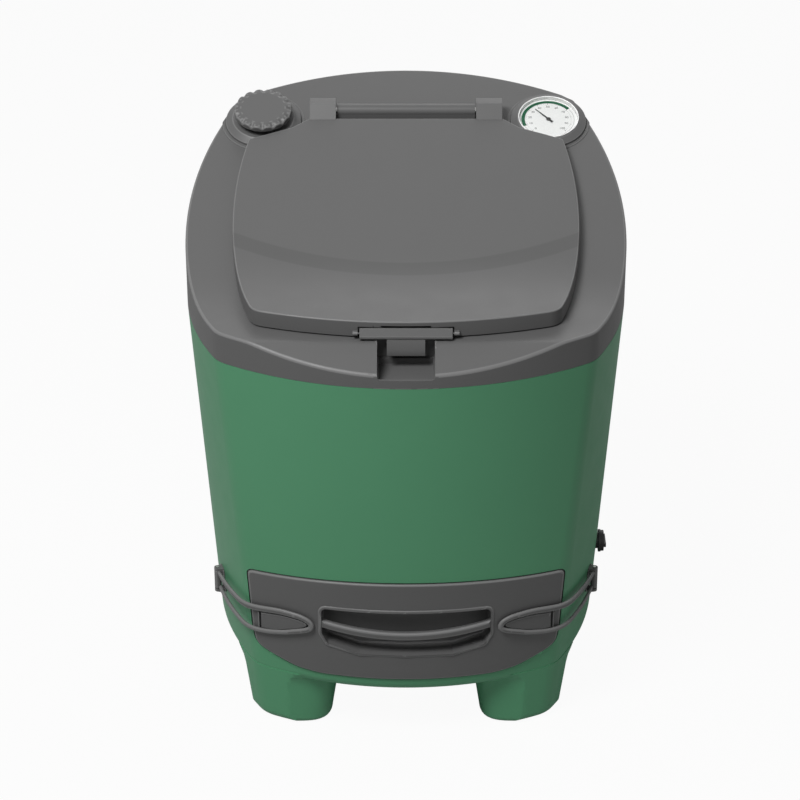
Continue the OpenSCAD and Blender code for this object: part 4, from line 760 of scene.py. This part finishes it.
def at_boss_mesh(o, side):
    """Carry a mesh from a boss's own frame, in metres, to its place on the cover."""
    for v in o.data.vertices:
        v.co = Vector(at_boss(side, [tuple(c * 1000 for c in v.co)])[0]) / 1000


tree, given, node, calc = nodes_tree(
    "knob_scallops", {"Count": KNOB_FLUTES, "Radius": KNOB_R / 1000, "Start": 0.0375, "Drop": 0.0036,
                      "Inward": 0.0007, "Upper": 0.0272, "Narrow": 2.2})
x, y, z = node("ShaderNodeSeparateXYZ", node("GeometryNodeInputPosition").outputs[0]).outputs
away = calc("SQRT", calc("ADD", calc("MULTIPLY", x, x), calc("MULTIPLY", y, y)))
wave = calc("COSINE", calc("MULTIPLY", calc("ARCTAN2", y, x), given["Count"]))
scallop = calc("POWER", calc("MULTIPLY_ADD", wave, 0.5, 0.5), given["Narrow"])
rim = node("ShaderNodeMapRange", away, given["Start"], given["Radius"], 0.0, 1.0,
           interpolation_type="SMOOTHSTEP").outputs[0]
upper = node("ShaderNodeMapRange", z, given["Upper"], 0.033, 0.0, 1.0,
             interpolation_type="SMOOTHSTEP").outputs[0]
share = calc("MULTIPLY", calc("MULTIPLY", scallop, rim), upper)
inward = calc("DIVIDE", calc("MULTIPLY", share, given["Inward"]), away)
steps = (calc("MULTIPLY", x, inward), calc("MULTIPLY", y, inward),
         calc("MULTIPLY", share, given["Drop"]))
moved = node("ShaderNodeCombineXYZ", *(calc("MULTIPLY", v, -1.0) for v in steps)).outputs[0]
end_tree(tree, given, node("GeometryNodeSetPosition", given["Geometry"], None, None, moved).outputs[0])

profile = [(8, 10.8), (8, KNOB_LOW + 2), (40, KNOB_LOW + 2), (KNOB_R - 4, KNOB_LOW)]
profile += arc(KNOB_R - 1.2, KNOB_LOW + 1.2, 1.2, -90, 0, 4)
profile += [(KNOB_R, z) for z in np.linspace(KNOB_LOW + 2.2, KNOB_TOP - 4, 8)]
profile += arc(KNOB_R - 2.8, KNOB_TOP - 4, 2.8, 10, 80, 6)
profile += [(r, KNOB_TOP - 1.0 + 1.0 * min(1, (47 - r) / 8)) for r in np.linspace(46, 30, 14)]
profile += [(r, KNOB_TOP) for r in (24, 16, 8)]
vent_knob = closed("vent_knob_cap", [[(r * cos(a), r * sin(a), z) for a in around(256)]
                                     for r, z in profile])
grown(vent_knob, tree, {"Count": KNOB_FLUTES}, dark_grey)
at_boss_mesh(vent_knob, -1)
finish_edges(vent_knob, 0, 34)
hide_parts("vent_knob")
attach(vent_knob, "vent")

# Vent shutter and spindle: the ported disc that the knob turns over the pipe's plate, and
# the steel spindle that is pressed into the knob.
dress(black_plastic, "vent_shutter")
dress(steel, "vent_spindle")

# Thermometer: a black cup with a rounded bezel sunk in the right boss, a printed white plate
# with a green arc, ticks and plain numbers, a black needle on its axle and a clear window.
CASE_R, BEZEL_R, DIAL_R, DIAL_Z = 52.5, 52.7, 50.9, 6.05
NUMBERS_R, DIAL_TICKS, DIAL_FIRST, DIAL_SWEEP = 32.5, 51, -135.0, 270.0
cup = turned("thermometer_case_cup", 1, [(5, -1.9), (CASE_R, -1.9), (CASE_R, 12.2), (51.5, 12.2),
                                         (51.5, 6), (49, 6), (49, 0), (5, 0)], black_plastic)
finish_edges(cup, 0, 34)
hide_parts("thermometer_case")
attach(cup, "body")
white_plastic = moulded("white_plastic", (0.78, 0.78, 0.77), 0.35, 0.1, 0.02)
ring = [(51.45, 12.25), (BEZEL_R - 0.2, 12.25), (BEZEL_R, 12.5)]
ring += arc(BEZEL_R - 0.7, 13.6, 0.7, 0, 90, 5)
ring += [(51.7, 14.2), (51.1, 13.7), (51.1, 7.1), (51.45, 7.1)]
bezel = turned("thermometer_bezel", 1, ring, white_plastic)
finish_edges(bezel, 0, 40)
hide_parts("thermometer_case")
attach(bezel, "body")


def print_film(name, colour):
    """Matt printing ink, very slightly uneven."""
    m, tree, shader, place = new_material(name)
    wire(two_tones(noise(place, 400), [c * 0.93 for c in colour], colour), shader, "Base Color")
    wire(spread(noise(place, 150), 0.3, 0.7, 0.45, 0.6), shader, "Roughness")
    shader.inputs["Specular IOR Level"].default_value = 0.15
    return m


white_plate = print_film("white_plate", (0.86, 0.87, 0.86))
plate = [(0.86, DIAL_Z), (DIAL_R, DIAL_Z), (DIAL_R, DIAL_Z + 0.8), (DIAL_R - 0.2, DIAL_Z + 1),
         (0.86, DIAL_Z + 1)]
dial = turned("thermometer_dial_plate", 1, plate, white_plate, 128)
finish_edges(dial)
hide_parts("thermometer_dial")
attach(dial, "body")
green_ink = print_film("green_ink", (0.006, 0.09, 0.04))
black_ink = print_film("black_ink", (0.03, 0.03, 0.03))


def dial_print(name, r0, r1, a0, a1, ink):
    """A printed band on the dial between two angles, clockwise from the top."""
    turns = np.radians(90 - np.linspace(a1, a0, 90))
    loop = [(r * cos(a), r * sin(a)) for r, way in ((r0, turns[::-1]), (r1, turns)) for a in way]
    n = len(turns)
    v = [at_boss(1, [(x, y, DIAL_Z + z)])[0] for z in (1.0, 1.06) for x, y in loop]
    f = [(i, i + 1, 2 * n - 2 - i, 2 * n - 1 - i) for i in range(n - 1)]
    faces = [[k + 2 * n for k in q] for q in f] + [list(q[::-1]) for q in f]
    faces += [(i, (i + 1) % (2 * n), (i + 1) % (2 * n) + 2 * n, i + 2 * n) for i in range(2 * n)]
    o = welded(name, [(v, faces)], ink)
    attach(o, "body")
    return o


dial_print("dial_green_arc", 41.2, 47.3, -112, 53, green_ink)
dial_print("dial_line", 44.6, 45.1, 55, 246, print_film("grey_ink", (0.2, 0.2, 0.2)))

tree, given, node, calc = nodes_tree(
    "dial_ticks", {"Count": DIAL_TICKS, "Radius": 0.0398, "Long": 0.0028, "Width": 0.0004,
                   "First": DIAL_FIRST, "Sweep": DIAL_SWEEP})
points = node("GeometryNodeMeshLine", given["Count"], None, (0, 0, 0), (0, 0, 0),
              mode="OFFSET").outputs[0]
index = node("GeometryNodeInputIndex").outputs[0]
part = calc("DIVIDE", index, calc("SUBTRACT", given["Count"], 1.0))
turn = calc("MULTIPLY_ADD", part, given["Sweep"], given["First"])
angle = calc("RADIANS", calc("SUBTRACT", 90.0, turn))
spot = node("ShaderNodeCombineXYZ", calc("MULTIPLY", calc("COSINE", angle), given["Radius"]),
            calc("MULTIPLY", calc("SINE", angle), given["Radius"]), (DIAL_Z + 1.03) / 1000).outputs[0]
placed = node("GeometryNodeSetPosition", points, None, spot).outputs[0]
box = node("ShaderNodeCombineXYZ", given["Long"], given["Width"], 0.00006).outputs[0]
tick = node("GeometryNodeMeshCube", box).outputs[0]
way = node("ShaderNodeCombineXYZ", 0.0, 0.0, angle).outputs[0]
whole = calc("COMPARE", calc("MODULO", index, 5.0), 0.0, 0.1)
size = node("ShaderNodeCombineXYZ", calc("MULTIPLY_ADD", whole, 0.6, 0.6),
            calc("MULTIPLY_ADD", whole, 0.9, 0.8), 1.0).outputs[0]
end_tree(tree, given,
         node("GeometryNodeInstanceOnPoints", placed, None, tick, None, None, way, size).outputs[0])
dial_ticks = piece("dial_ticks", [(0, 0, 0)], [], black_ink)
grown(dial_ticks, tree, {"Count": DIAL_TICKS}, black_ink)
at_boss_mesh(dial_ticks, 1)
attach(dial_ticks, "body")

for i in range(11):
    letters = bpy.data.curves.new("dial_number_%d" % i, "FONT")
    letters.body, letters.size, letters.extrude = str(10 * i), 0.0066, 0.00003
    letters.align_x, letters.align_y = "CENTER", "CENTER"
    text = bpy.data.objects.new("number", letters)
    bpy.context.scene.collection.objects.link(text)
    bpy.context.view_layer.update()
    number = bpy.data.objects.new("dial_number_%d" % (10 * i), bpy.data.meshes.new_from_object(
        text.evaluated_get(bpy.context.evaluated_depsgraph_get())))
    bpy.data.objects.remove(text)
    bpy.context.scene.collection.objects.link(number)
    a = radians(90 - DIAL_FIRST - DIAL_SWEEP / 10 * i)
    for v in number.data.vertices:
        v.co += Vector((NUMBERS_R / 1000 * cos(a), NUMBERS_R / 1000 * sin(a), (DIAL_Z + 1.03) / 1000))
    at_boss_mesh(number, 1)
    number.data.materials.clear()
    number.data.materials.append(black_ink)
    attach(number, "body")

# Thermometer window, probe and needle: a clear disc snapped under the bezel, a steel tube
# through the cover, and a black needle on the axle that comes out of the tube.
clear, tree, shader, place = new_material("clear_lens")
wire(spread(noise(place, 60), 0.3, 0.7, 0.02, 0.03), shader, "Alpha")
shader.inputs["Base Color"].default_value = (0.3, 0.32, 0.31, 1)
wire(spread(noise(place, 200), 0.3, 0.7, 0.04, 0.09), shader, "Roughness")
dress(clear, "thermometer_lens")
dress(steel, "thermometer_probe")
needle = moulded("needle_lacquer", (0.012, 0.012, 0.012), 0.45, 0.05)
dress(needle, "thermometer_pointer")

# Lid: a dark moulded shell over the filling opening, with a bowed front, cut rear corners, a
# bowed band of painted shade across its top in place of a shallow step, two hinge arms at the rear and
# a pocket for the latch in front.
LID_HALF_W, LID_FRONT, LID_REAR, LID_GAP, LID_H, LID_T = 290, 296, 218, 2.5, 25, 3.5
LID_FRONT_R, LID_SIDE_R, LID_CORNER_R = 700, 750, 34
BAND_Y, BAND_BOW, BAND_HALF = -130, 8.2e-4, 15
LIP_RISE, LIP_START_Y, LIP_RUN = 4.5, 215, 480


def lid_plan(d):
    """The lid's outline, moved inwards: arcs in front and at the sides, cut rear corners."""
    half = quarter(LID_HALF_W - d, LID_FRONT - d, LID_FRONT_R - d, LID_SIDE_R - d,
                   max(LID_CORNER_R - d, 4), (40, 12, 20))
    side = [(LID_HALF_W - LID_SIDE_R + sqrt((LID_SIDE_R - d) ** 2 - y * y), y)
            for y in np.linspace(0, 169 - d, 12)[1:]]
    a, b, c, e = side[-1], (197 - d * 0.8, 197 - d), (168 - d * 0.4, LID_REAR - d), (0, LID_REAR - d)
    turn = corner(side[-2], a, b, 5, 4) + corner(a, b, c, 26, 5) + corner(b, c, e, 12, 4)
    half += side[:-1] + [tuple(p) for p in turn]
    half += [(x, LID_REAR - d) for x in np.linspace(150, 0, 12)]
    return half + [(-x, y) for x, y in half[-2:0:-1]]


def lid_top(y):
    """The deck's slope, a little less steep, so that the lid's front lip is thicker."""
    return deck(y) + LIP_RISE * np.clip((LIP_START_Y - np.asarray(y, float)) / LIP_RUN, 0, 1)


def lid_form(name, inset, low, high, edge=0.0, step=9, top=lid_top):
    return top_form(name, lambda more: lid_plan(inset + more), low, high, edge, step, top=top)


def shade_banded(name, colour):
    """The moulded plastic with painted shade: a darker, bowed band across it in place of a step's
    shade.
    """
    m = moulded(name, colour)
    tree = m.node_tree
    shader = tree.nodes["Principled BSDF"]
    place = next(n for n in tree.nodes if n.type == "TEX_COORD").outputs["Object"]
    node, calc = adders(tree)
    x, y, _ = node("ShaderNodeSeparateXYZ", place).outputs
    bow = calc("MULTIPLY_ADD", calc("MULTIPLY", x, x), -BAND_BOW * 1000, y)
    away = calc("ABSOLUTE", calc("SUBTRACT", bow, BAND_Y / 1000))
    painted_shade_band = spread(away, (BAND_HALF - 1.5) / 1000, (BAND_HALF + 1.5) / 1000, 1, 0)
    plain = shader.inputs["Base Color"].links[0].from_socket
    # Painted shade: inside the bowed band the base colour is darkened to 0.85.
    wire(two_tones(painted_shade_band, plain, (0.85, 0.85, 0.85), blend_type="MULTIPLY"), shader, "Base Color")
    return m


lid_grey = shade_banded("lid_grey_plastic", (0.1, 0.1, 0.1))
lid_shell = lid_form("lid_skin", 0, -30, LID_H, 2.2)
cut(lid_shell, lid_form("under_room", -6, -90, LID_GAP, step=16, top=deck))
cut(lid_shell, lid_form("hollow", LID_T, -40, LID_H - LID_T, step=16, top=deck))
# Pocket for the latch's bar.
LATCH_Y, LATCH_Z, POCKET_HALF, LUG_W, LUG_R = 297, 761.457, 77, 8, 3.1
pocket = block("pocket_wall", (-POCKET_HALF - 9, POCKET_HALF + 9), (-380, -278.5),
               (PARTING_Z + 20, PARTING_Z + 150))
join(pocket, lid_form("limit", 0.5, -10, LID_H - 1, 2.2), "INTERSECT")
cut(pocket, lid_form("under_room", -6, -90, LID_GAP, step=16, top=deck))
join(lid_shell, pocket)
cut(lid_shell, block("pocket", (-POCKET_HALF, POCKET_HALF), (-380, -283.5),
                     (PARTING_Z + 1, LATCH_Z + 9.4)))
cut(lid_shell, block("finger_slot", (-40, 40), (-380, -285), (LATCH_Z + 5, LATCH_Z + 12.4)))
for x in (-POCKET_HALF - LUG_W, POCKET_HALF):
    lug = cylinder_x("lug", x, x + LUG_W, -LATCH_Y, LATCH_Z, LUG_R, 32)
    join(lug, block("lug_root", (x, x + LUG_W), (-LATCH_Y, -LATCH_Y + 8),
                    (LATCH_Z - LUG_R, LATCH_Z + LUG_R)))
    join(lid_shell, lug)
cut(lid_shell, cylinder_x("pin_room", -84.6, 84.6, -LATCH_Y, LATCH_Z, 2.05, 24))
# Hinge arms: blocks with a slanting front face that wrap round the pins.
for x in (-ARM_X - KNUCKLE_W, ARM_X):
    rear_z = PARTING_Z + float(deck(LID_REAR))
    k = KNUCKLE_R
    side = [(LID_REAR - 4, rear_z + 5), (HINGE_Y - k * 0.75, HINGE_Z - k * 0.6)]
    side += [(HINGE_Y + k * sin(a), HINGE_Z + k * cos(a))
             for a in np.radians(np.linspace(232, 20, 40))]
    side += [(HINGE_Y + 2, HINGE_Z + k + 0.1), (HINGE_Y - k * 0.62, HINGE_Z + k * 0.86),
             (LID_REAR - 4, rear_z + LID_H - 1)]
    join(lid_shell, closed("arm", [[(v, y, z) for y, z in side] for v in (x, x + KNUCKLE_W)]))
for x in (-ARM_X - KNUCKLE_W - 1, ARM_X - 1):
    cut(lid_shell, cylinder_x("pin_bore", x, x + KNUCKLE_W + 2, HINGE_Y, HINGE_Z, PIN_R + 0.05, 40))
lid_shell.data.materials.clear()
lid_shell.data.materials.append(lid_grey)
finish_edges(lid_shell, 0.8, 38)
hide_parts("lid_shell")
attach(lid_shell, "lid")

# Lid insulation, inner pan, seal and screws: a foam sheet, the grey inner skin with its plug,
# a black rubber ring in the plug's groove, and the screws that hold the pan to the lid.
rubber = moulded("black_rubber", (0.02, 0.02, 0.02), 0.75, 0.5, 0.1)
dress(foam, "lid_insulation")
dress(light_grey, "lid_inner_pan")
dress(rubber, "lid_seal")
dress(steel, "lid_screws")
black_steel = metal("blackened_steel", (0.09, 0.09, 0.09), 0.45)
dress(black_steel, "latch_pin", "latch_spring")

# Latch: a moulded bar that turns on a steel pin in the lid's front edge, with a tongue that
# hooks under the catch in the cover's recess. A coil spring on the pin holds it shut.
LATCH_HALF_W, LATCH_REACH, TONGUE_HALF_W, TONGUE_FACE, TONGUE_LOW = 74, 8.8, 30.5, 309, 727.5
side = [(LATCH_Y - 7.4, LATCH_Z - 7.2), (LATCH_Y + 6.8, LATCH_Z - 7.2), (LATCH_Y + 8, LATCH_Z - 6.0),
        (LATCH_Y + 8, LATCH_Z - 3.0), (LATCH_Y + 7.4, LATCH_Z - 2.0)]
side += [(LATCH_Y + LATCH_REACH * sin(a), LATCH_Z + LATCH_REACH * cos(a))
         for a in np.radians(np.linspace(8, -60, 10))]
lid_latch = closed("lid_latch_bar", [[(x, -y, z) for y, z in side]
                                     for x in (-LATCH_HALF_W, LATCH_HALF_W)])
side = [(-LATCH_Y, LATCH_Z - 4), (-LATCH_Y - 5.5, LATCH_Z - 4), (-TONGUE_FACE, LATCH_Z - 24),
        (-TONGUE_FACE, TONGUE_LOW), (-TONGUE_FACE + 5, TONGUE_LOW), (-TONGUE_FACE + 5, LATCH_Z - 32),
        (-290, LATCH_Z - 32), (-290, LATCH_Z - 26.5), (-TONGUE_FACE + 6, LATCH_Z - 25.5),
        (-LATCH_Y, LATCH_Z - 12)]
tongue = closed("tongue", [[(x, y, z) for y, z in side] for x in (-TONGUE_HALF_W, TONGUE_HALF_W)])
join(lid_latch, tongue)
cut(lid_latch, cylinder_x("pin_bore", -90, 90, -LATCH_Y, LATCH_Z, 2.1, 24))
cut(lid_latch, cylinder_x("spring_bore", -60, -44, -LATCH_Y, LATCH_Z, 5.2, 32))
finish_edges(lid_latch, 0.9, 38)
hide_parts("lid_latch")
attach(lid_latch, "latch")

# Hatch: a dark moulded panel with a rounded edge, a deep handle recess with a raised
# rim, and two stepped pads under the loops.
def wall_strip(z, inset, steps=(80, 40, 80)):
    """Points of the wall's plan at a height, from the front's middle past the corner."""
    side_r = SIDE_R_BASE + (SIDE_R - SIDE_R_BASE) * (z - BASE_Z) / (PARTING_Z - BASE_Z)
    w = half_at(z) - inset
    return np.array(quarter(w, w, FRONT_R - inset, side_r - inset, max(CORNER_R - inset, 2), steps))


@lru_cache
def wall_table(inset):
    """The wall's plans at an inset, for heights all over the hatch."""
    heights = np.linspace(90, 345, 18)
    return heights, [wall_strip(z, inset, (60, 24, 40)) for z in heights]


def front_y(x, z, inset):
    """Depth of the front wall's face at x and z, behind the outer face by an inset."""
    zs, rows = wall_table(inset)
    x, z = np.abs(np.asarray(x, float)), np.asarray(z, float)
    ys = np.stack([np.interp(x, r[:, 0], r[:, 1]) for r in rows])
    f = np.clip((z - zs[0]) / (zs[1] - zs[0]), 0, len(zs) - 1.001)
    i = f.astype(int)
    k = np.arange(len(x))
    return ys[i, k] * (1 - f + i) + ys[i + 1, k] * (f - i)


def wall_slab(name, outline, front, back, edge=0.0, step=9.0, back_edge=0.0):
    """A closed form in the front wall: an outline in X and Z between two insets."""
    rows = [(0, back)]
    if back_edge:
        rows = [(back_edge * (1 - sin(a)), back - back_edge * (1 - cos(a))) for a in quarter_turn(5)]
    rows.append((0, front + edge))
    if edge:
        rows += [(edge * (1 - cos(a)), front + edge * (1 - sin(a))) for a in quarter_turn(6)[1:]]
    loops = []
    for off, depth in rows:
        p = offset(outline, -off)
        loops.append([(x, y, z) for (x, z), y in zip(p, front_y(p[:, 0], p[:, 1], round(depth, 3)))])
    parts = [rings(loops)]
    for off, depth in (rows[0], rows[-1]):
        pts, tris = fill(offset(outline, -off), step)
        y = front_y(pts[:, 0], pts[:, 1], round(depth, 3))
        parts.append((np.stack([pts[:, 0], y, pts[:, 1]], 1), tris))
    return welded(name, parts, dark_grey)


def grip_outline():
    """The recess's outline: a level floor, a slanting facet at each side, upright ends."""
    marks = [(0, 179), (78, 179), (131.5, 192.6), (142, 212), (142, 263.8), (60, 265), (0, 265.2)]
    half = [np.array(marks[0], float)]
    for i, r in ((1, 7), (2, 7), (3, 9), (4, 9)):
        half += corner(marks[i - 1], marks[i], marks[i + 1], r, 5)
    return both_sides(half + [np.array(m, float) for m in marks[5:]])


GRIP = grip_outline()
hatch_panel = wall_slab("hatch_panel_skin", HATCH, -4, 10, 3)
cut(hatch_panel, wall_slab("hollow", offset(HATCH, -4), 0, 12, step=14))
join(hatch_panel, wall_slab("rim", offset(GRIP, 5.5), -6.2, 3, 2.2, 12))
join(hatch_panel, wall_slab("cup", offset(GRIP, 4), -2, 34, step=12))
cut(hatch_panel, wall_slab("recess", GRIP, -9, 30, back_edge=4))
PAD = [(250.5, 198.6), (230, 200), (212, 204.6), (193, 210.8), (180, 215.6), (170, 220.5),
       (166.6, 224.5), (168.5, 228.5), (178, 232), (193, 234), (212, 234.6), (230, 232.5),
       (250.5, 229.5)]
for side in (-1, 1):
    pad = [(side * x, z) for x, z in PAD[:1] + [tuple(p) for p in spline(PAD, 4)[1:-1]] + PAD[-1:]]
    pad = pad if side < 0 else pad[::-1]
    join(hatch_panel, wall_slab("pad", pad, -8.5, 3, 2.0, 7))
    slot = [(side * x, z) for x, z in ((248.5, 190), (245, 190), (245, 240), (248.5, 240))]
    cut(hatch_panel, wall_slab("pad_slot", slot if side < 0 else slot[::-1], -14, -2.5))
finish_edges(hatch_panel, 0.9, 35)
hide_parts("hatch_panel")
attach(hatch_panel, "hatch")

# Handle: a bowed bar across the recess that sags in its middle, moulded with the panel.
BAR_HALF_W, BAR_Z, BAR_SAG, BAR_H, RECESS_HALF_W = 144, 222.5, 7.5, 15, 142
middle = [(x, BAR_Z - BAR_SAG + 2 * BAR_SAG * x * x / (RECESS_HALF_W * RECESS_HALF_W))
          for x in np.linspace(-BAR_HALF_W, BAR_HALF_W, 49)]
bar = [(x, z - BAR_H / 2) for x, z in middle] + [(x, z + BAR_H / 2) for x, z in middle[::-1]]
hatch_handle = wall_slab("hatch_handle_bar", np.array(bar), -5, 7, 4.5, 7, 4.5)
finish_edges(hatch_handle)
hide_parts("hatch_handle")
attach(hatch_handle, "hatch")

# Hatch insulation, inner pan, seal and screws: foam behind the panel, the grey plug that fills
# the tunnel, a rubber ring against the frame, and the screws through the pan into the panel.
dress(foam, "hatch_insulation")
dress(light_grey, "hatch_inner_pan")
dress(rubber, "hatch_seal")
dress(steel, "hatch_screws", "loop_pins")

# Loop latches: two moulded loops that hook over the pads and hold the hatch shut. Each
# turns on a steel pin between the ears of a bracket that is pegged to the tub's side wall.
LOOP_Z, LOOP_PIN_X, LOOP_PIN_Y, LOOP_DEPTH = 212, 326.9, -150, 9
LOOP_TIP_X = 156
LOOP_LINE = [(1.0, 14.4), (0.9, 18), (0.82, 21), (0.56, 26.3), (0.33, 31), (0.165, 29.6),
             (0.095, 27), (0.04, 22.4), (0.014, 16), (0.02, 9.5), (0.055, 4.6), (0.11, 0.6),
             (0.19, -4), (0.33, -11.6), (0.56, -18.6), (0.82, -18.6), (0.9, -17), (1.0, -14.4)]


STRIP = wall_strip(LOOP_Z, -LOOP_DEPTH)
ALONG = np.concatenate([[0], np.cumsum(np.linalg.norm(np.diff(STRIP, axis=0), axis=1))])
TO_PIN = float(np.interp(LOOP_PIN_Y, STRIP[:, 1], ALONG))


def on_wall(u, z, inset=-LOOP_DEPTH):
    """Place and outward direction on the wall at a way along it and a height."""
    i = np.interp(u, ALONG, np.arange(len(ALONG)))
    s = wall_strip(z, inset)
    k = min(int(i), len(s) - 2)
    t = s[k + 1] - s[k]
    p = s[k] + t * (i - k)
    t /= np.linalg.norm(t)
    return np.array([p[0], p[1], z]), np.array([t[1], -t[0], -WALL_LEAN]) / hypot(1, WALL_LEAN)


def sweep(name, path, normals, widths, thick):
    """A rounded strand along a path; each ring lies between the wall's normal and the side."""
    path, loops = np.array(path), []
    for p, d, up, w in zip(path, np.gradient(path, axis=0), normals, widths):
        d = d / np.linalg.norm(d)
        side = np.cross(up, d)
        side /= np.linalg.norm(side)
        up = np.cross(d, side)
        loops.append([tuple(p + side * w * abs(cos(a)) ** 0.8 * np.sign(cos(a))
                            + up * thick * abs(sin(a)) ** 0.8 * np.sign(sin(a))) for a in around(14)])
    return closed(name, loops)


def post(name, side, steps, n):
    """A round form on a loop's pin, from radii and heights."""
    return closed(name, [[(side * LOOP_PIN_X + r * cos(a), LOOP_PIN_Y + r * sin(a), z)
                          for a in around(n)] for r, z in steps])


def mirrored(points, side):
    return [(side * x, y, z) for x, y, z in points]


ANCHOR_X, EAR_Z = 315.66, (188.5, 193.5, 230.5, 235.5)
for side, word in ((-1, "left"), (1, "right")):
    # Bracket: a rounded plate against the wall, two ears for the pin, two pegs through the wall.
    plate = []
    for inset, depth in ((0.8, -0.2), (0, -0.9), (0, -1.9), (0.4, -2.6), (1.3, -3.0)):
        plate.append(mirrored([on_wall(TO_PIN + u, LOOP_Z + z, depth)[0]
                               for u, z in rounded_box(8, -18.5, 18.5, 5 - inset, 6)], side))
    anchor = closed("%s_loop_bracket" % word, plate)
    for z0, z1 in (EAR_Z[:2], EAR_Z[2:]):
        ear = [(ANCHOR_X + 0.2, LOOP_PIN_Y - 9), (ANCHOR_X + 4, LOOP_PIN_Y - 7.5)]
        ear += [(LOOP_PIN_X + 6 * cos(a), LOOP_PIN_Y + 6 * sin(a))
                for a in np.radians(np.linspace(-75, 75, 14))]
        ear += [(ANCHOR_X + 4, LOOP_PIN_Y + 7.5), (ANCHOR_X + 0.2, LOOP_PIN_Y + 9)]
        join(anchor, closed("ear", [[(side * x, y, z) for x, y in ear] for z in (z0, z1)]))
    for z in (LOOP_Z - 9, LOOP_Z + 9):
        join(anchor, closed("peg", [[(side * x, LOOP_PIN_Y + 4 * cos(a), z + 4 * sin(a))
                                     for a in around(32)] for x in (ANCHOR_X - 9, ANCHOR_X + 1)]))
    cut(anchor, post("pin_room", side, ((2.55, 180), (2.55, 244)), 24))
    finish_edges(anchor, 0.9, 38)
    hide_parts("%s_loop_anchor" % word)
    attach(anchor, "body")
    line = []
    for share, rise in LOOP_LINE:
        x = LOOP_TIP_X + share * (LOOP_PIN_X - LOOP_TIP_X)
        u = TO_PIN if share == 1 else float(np.interp(x, STRIP[:, 0], ALONG))
        line.append((u, LOOP_Z + rise))
    line[1] = (line[2][0] + (TO_PIN - line[2][0]) * 0.55, line[1][1])
    line[-2] = (line[-3][0] + (TO_PIN - line[-3][0]) * 0.55, line[-2][1])
    flat = spline(line, 3)
    spots = [on_wall(u, z) for u, z in flat]
    share = np.linspace(0, 1, len(flat))
    widths = np.interp(share, (0, 0.07, 0.35, 0.62, 0.93, 1), (3.4, 5.9, 5.6, 4.2, 4.2, 3.4))
    path, up = mirrored([p for p, _ in spots], side), mirrored([n for _, n in spots], side)
    loop = sweep("%s_loop_strands" % word, path, [np.array(n) for n in up], widths, 3.0)
    join(loop, post("eye", side, ((4.9, 194.1), (6, 195.3), (6, 228.7), (4.9, 229.9)), 40))
    cut(loop, post("bore", side, ((2.6, 190), (2.6, 234)), 24))
    finish_edges(loop, 0, 40)
    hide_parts("%s_loop" % word)
    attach(loop, "loop_" + word)

low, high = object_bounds()
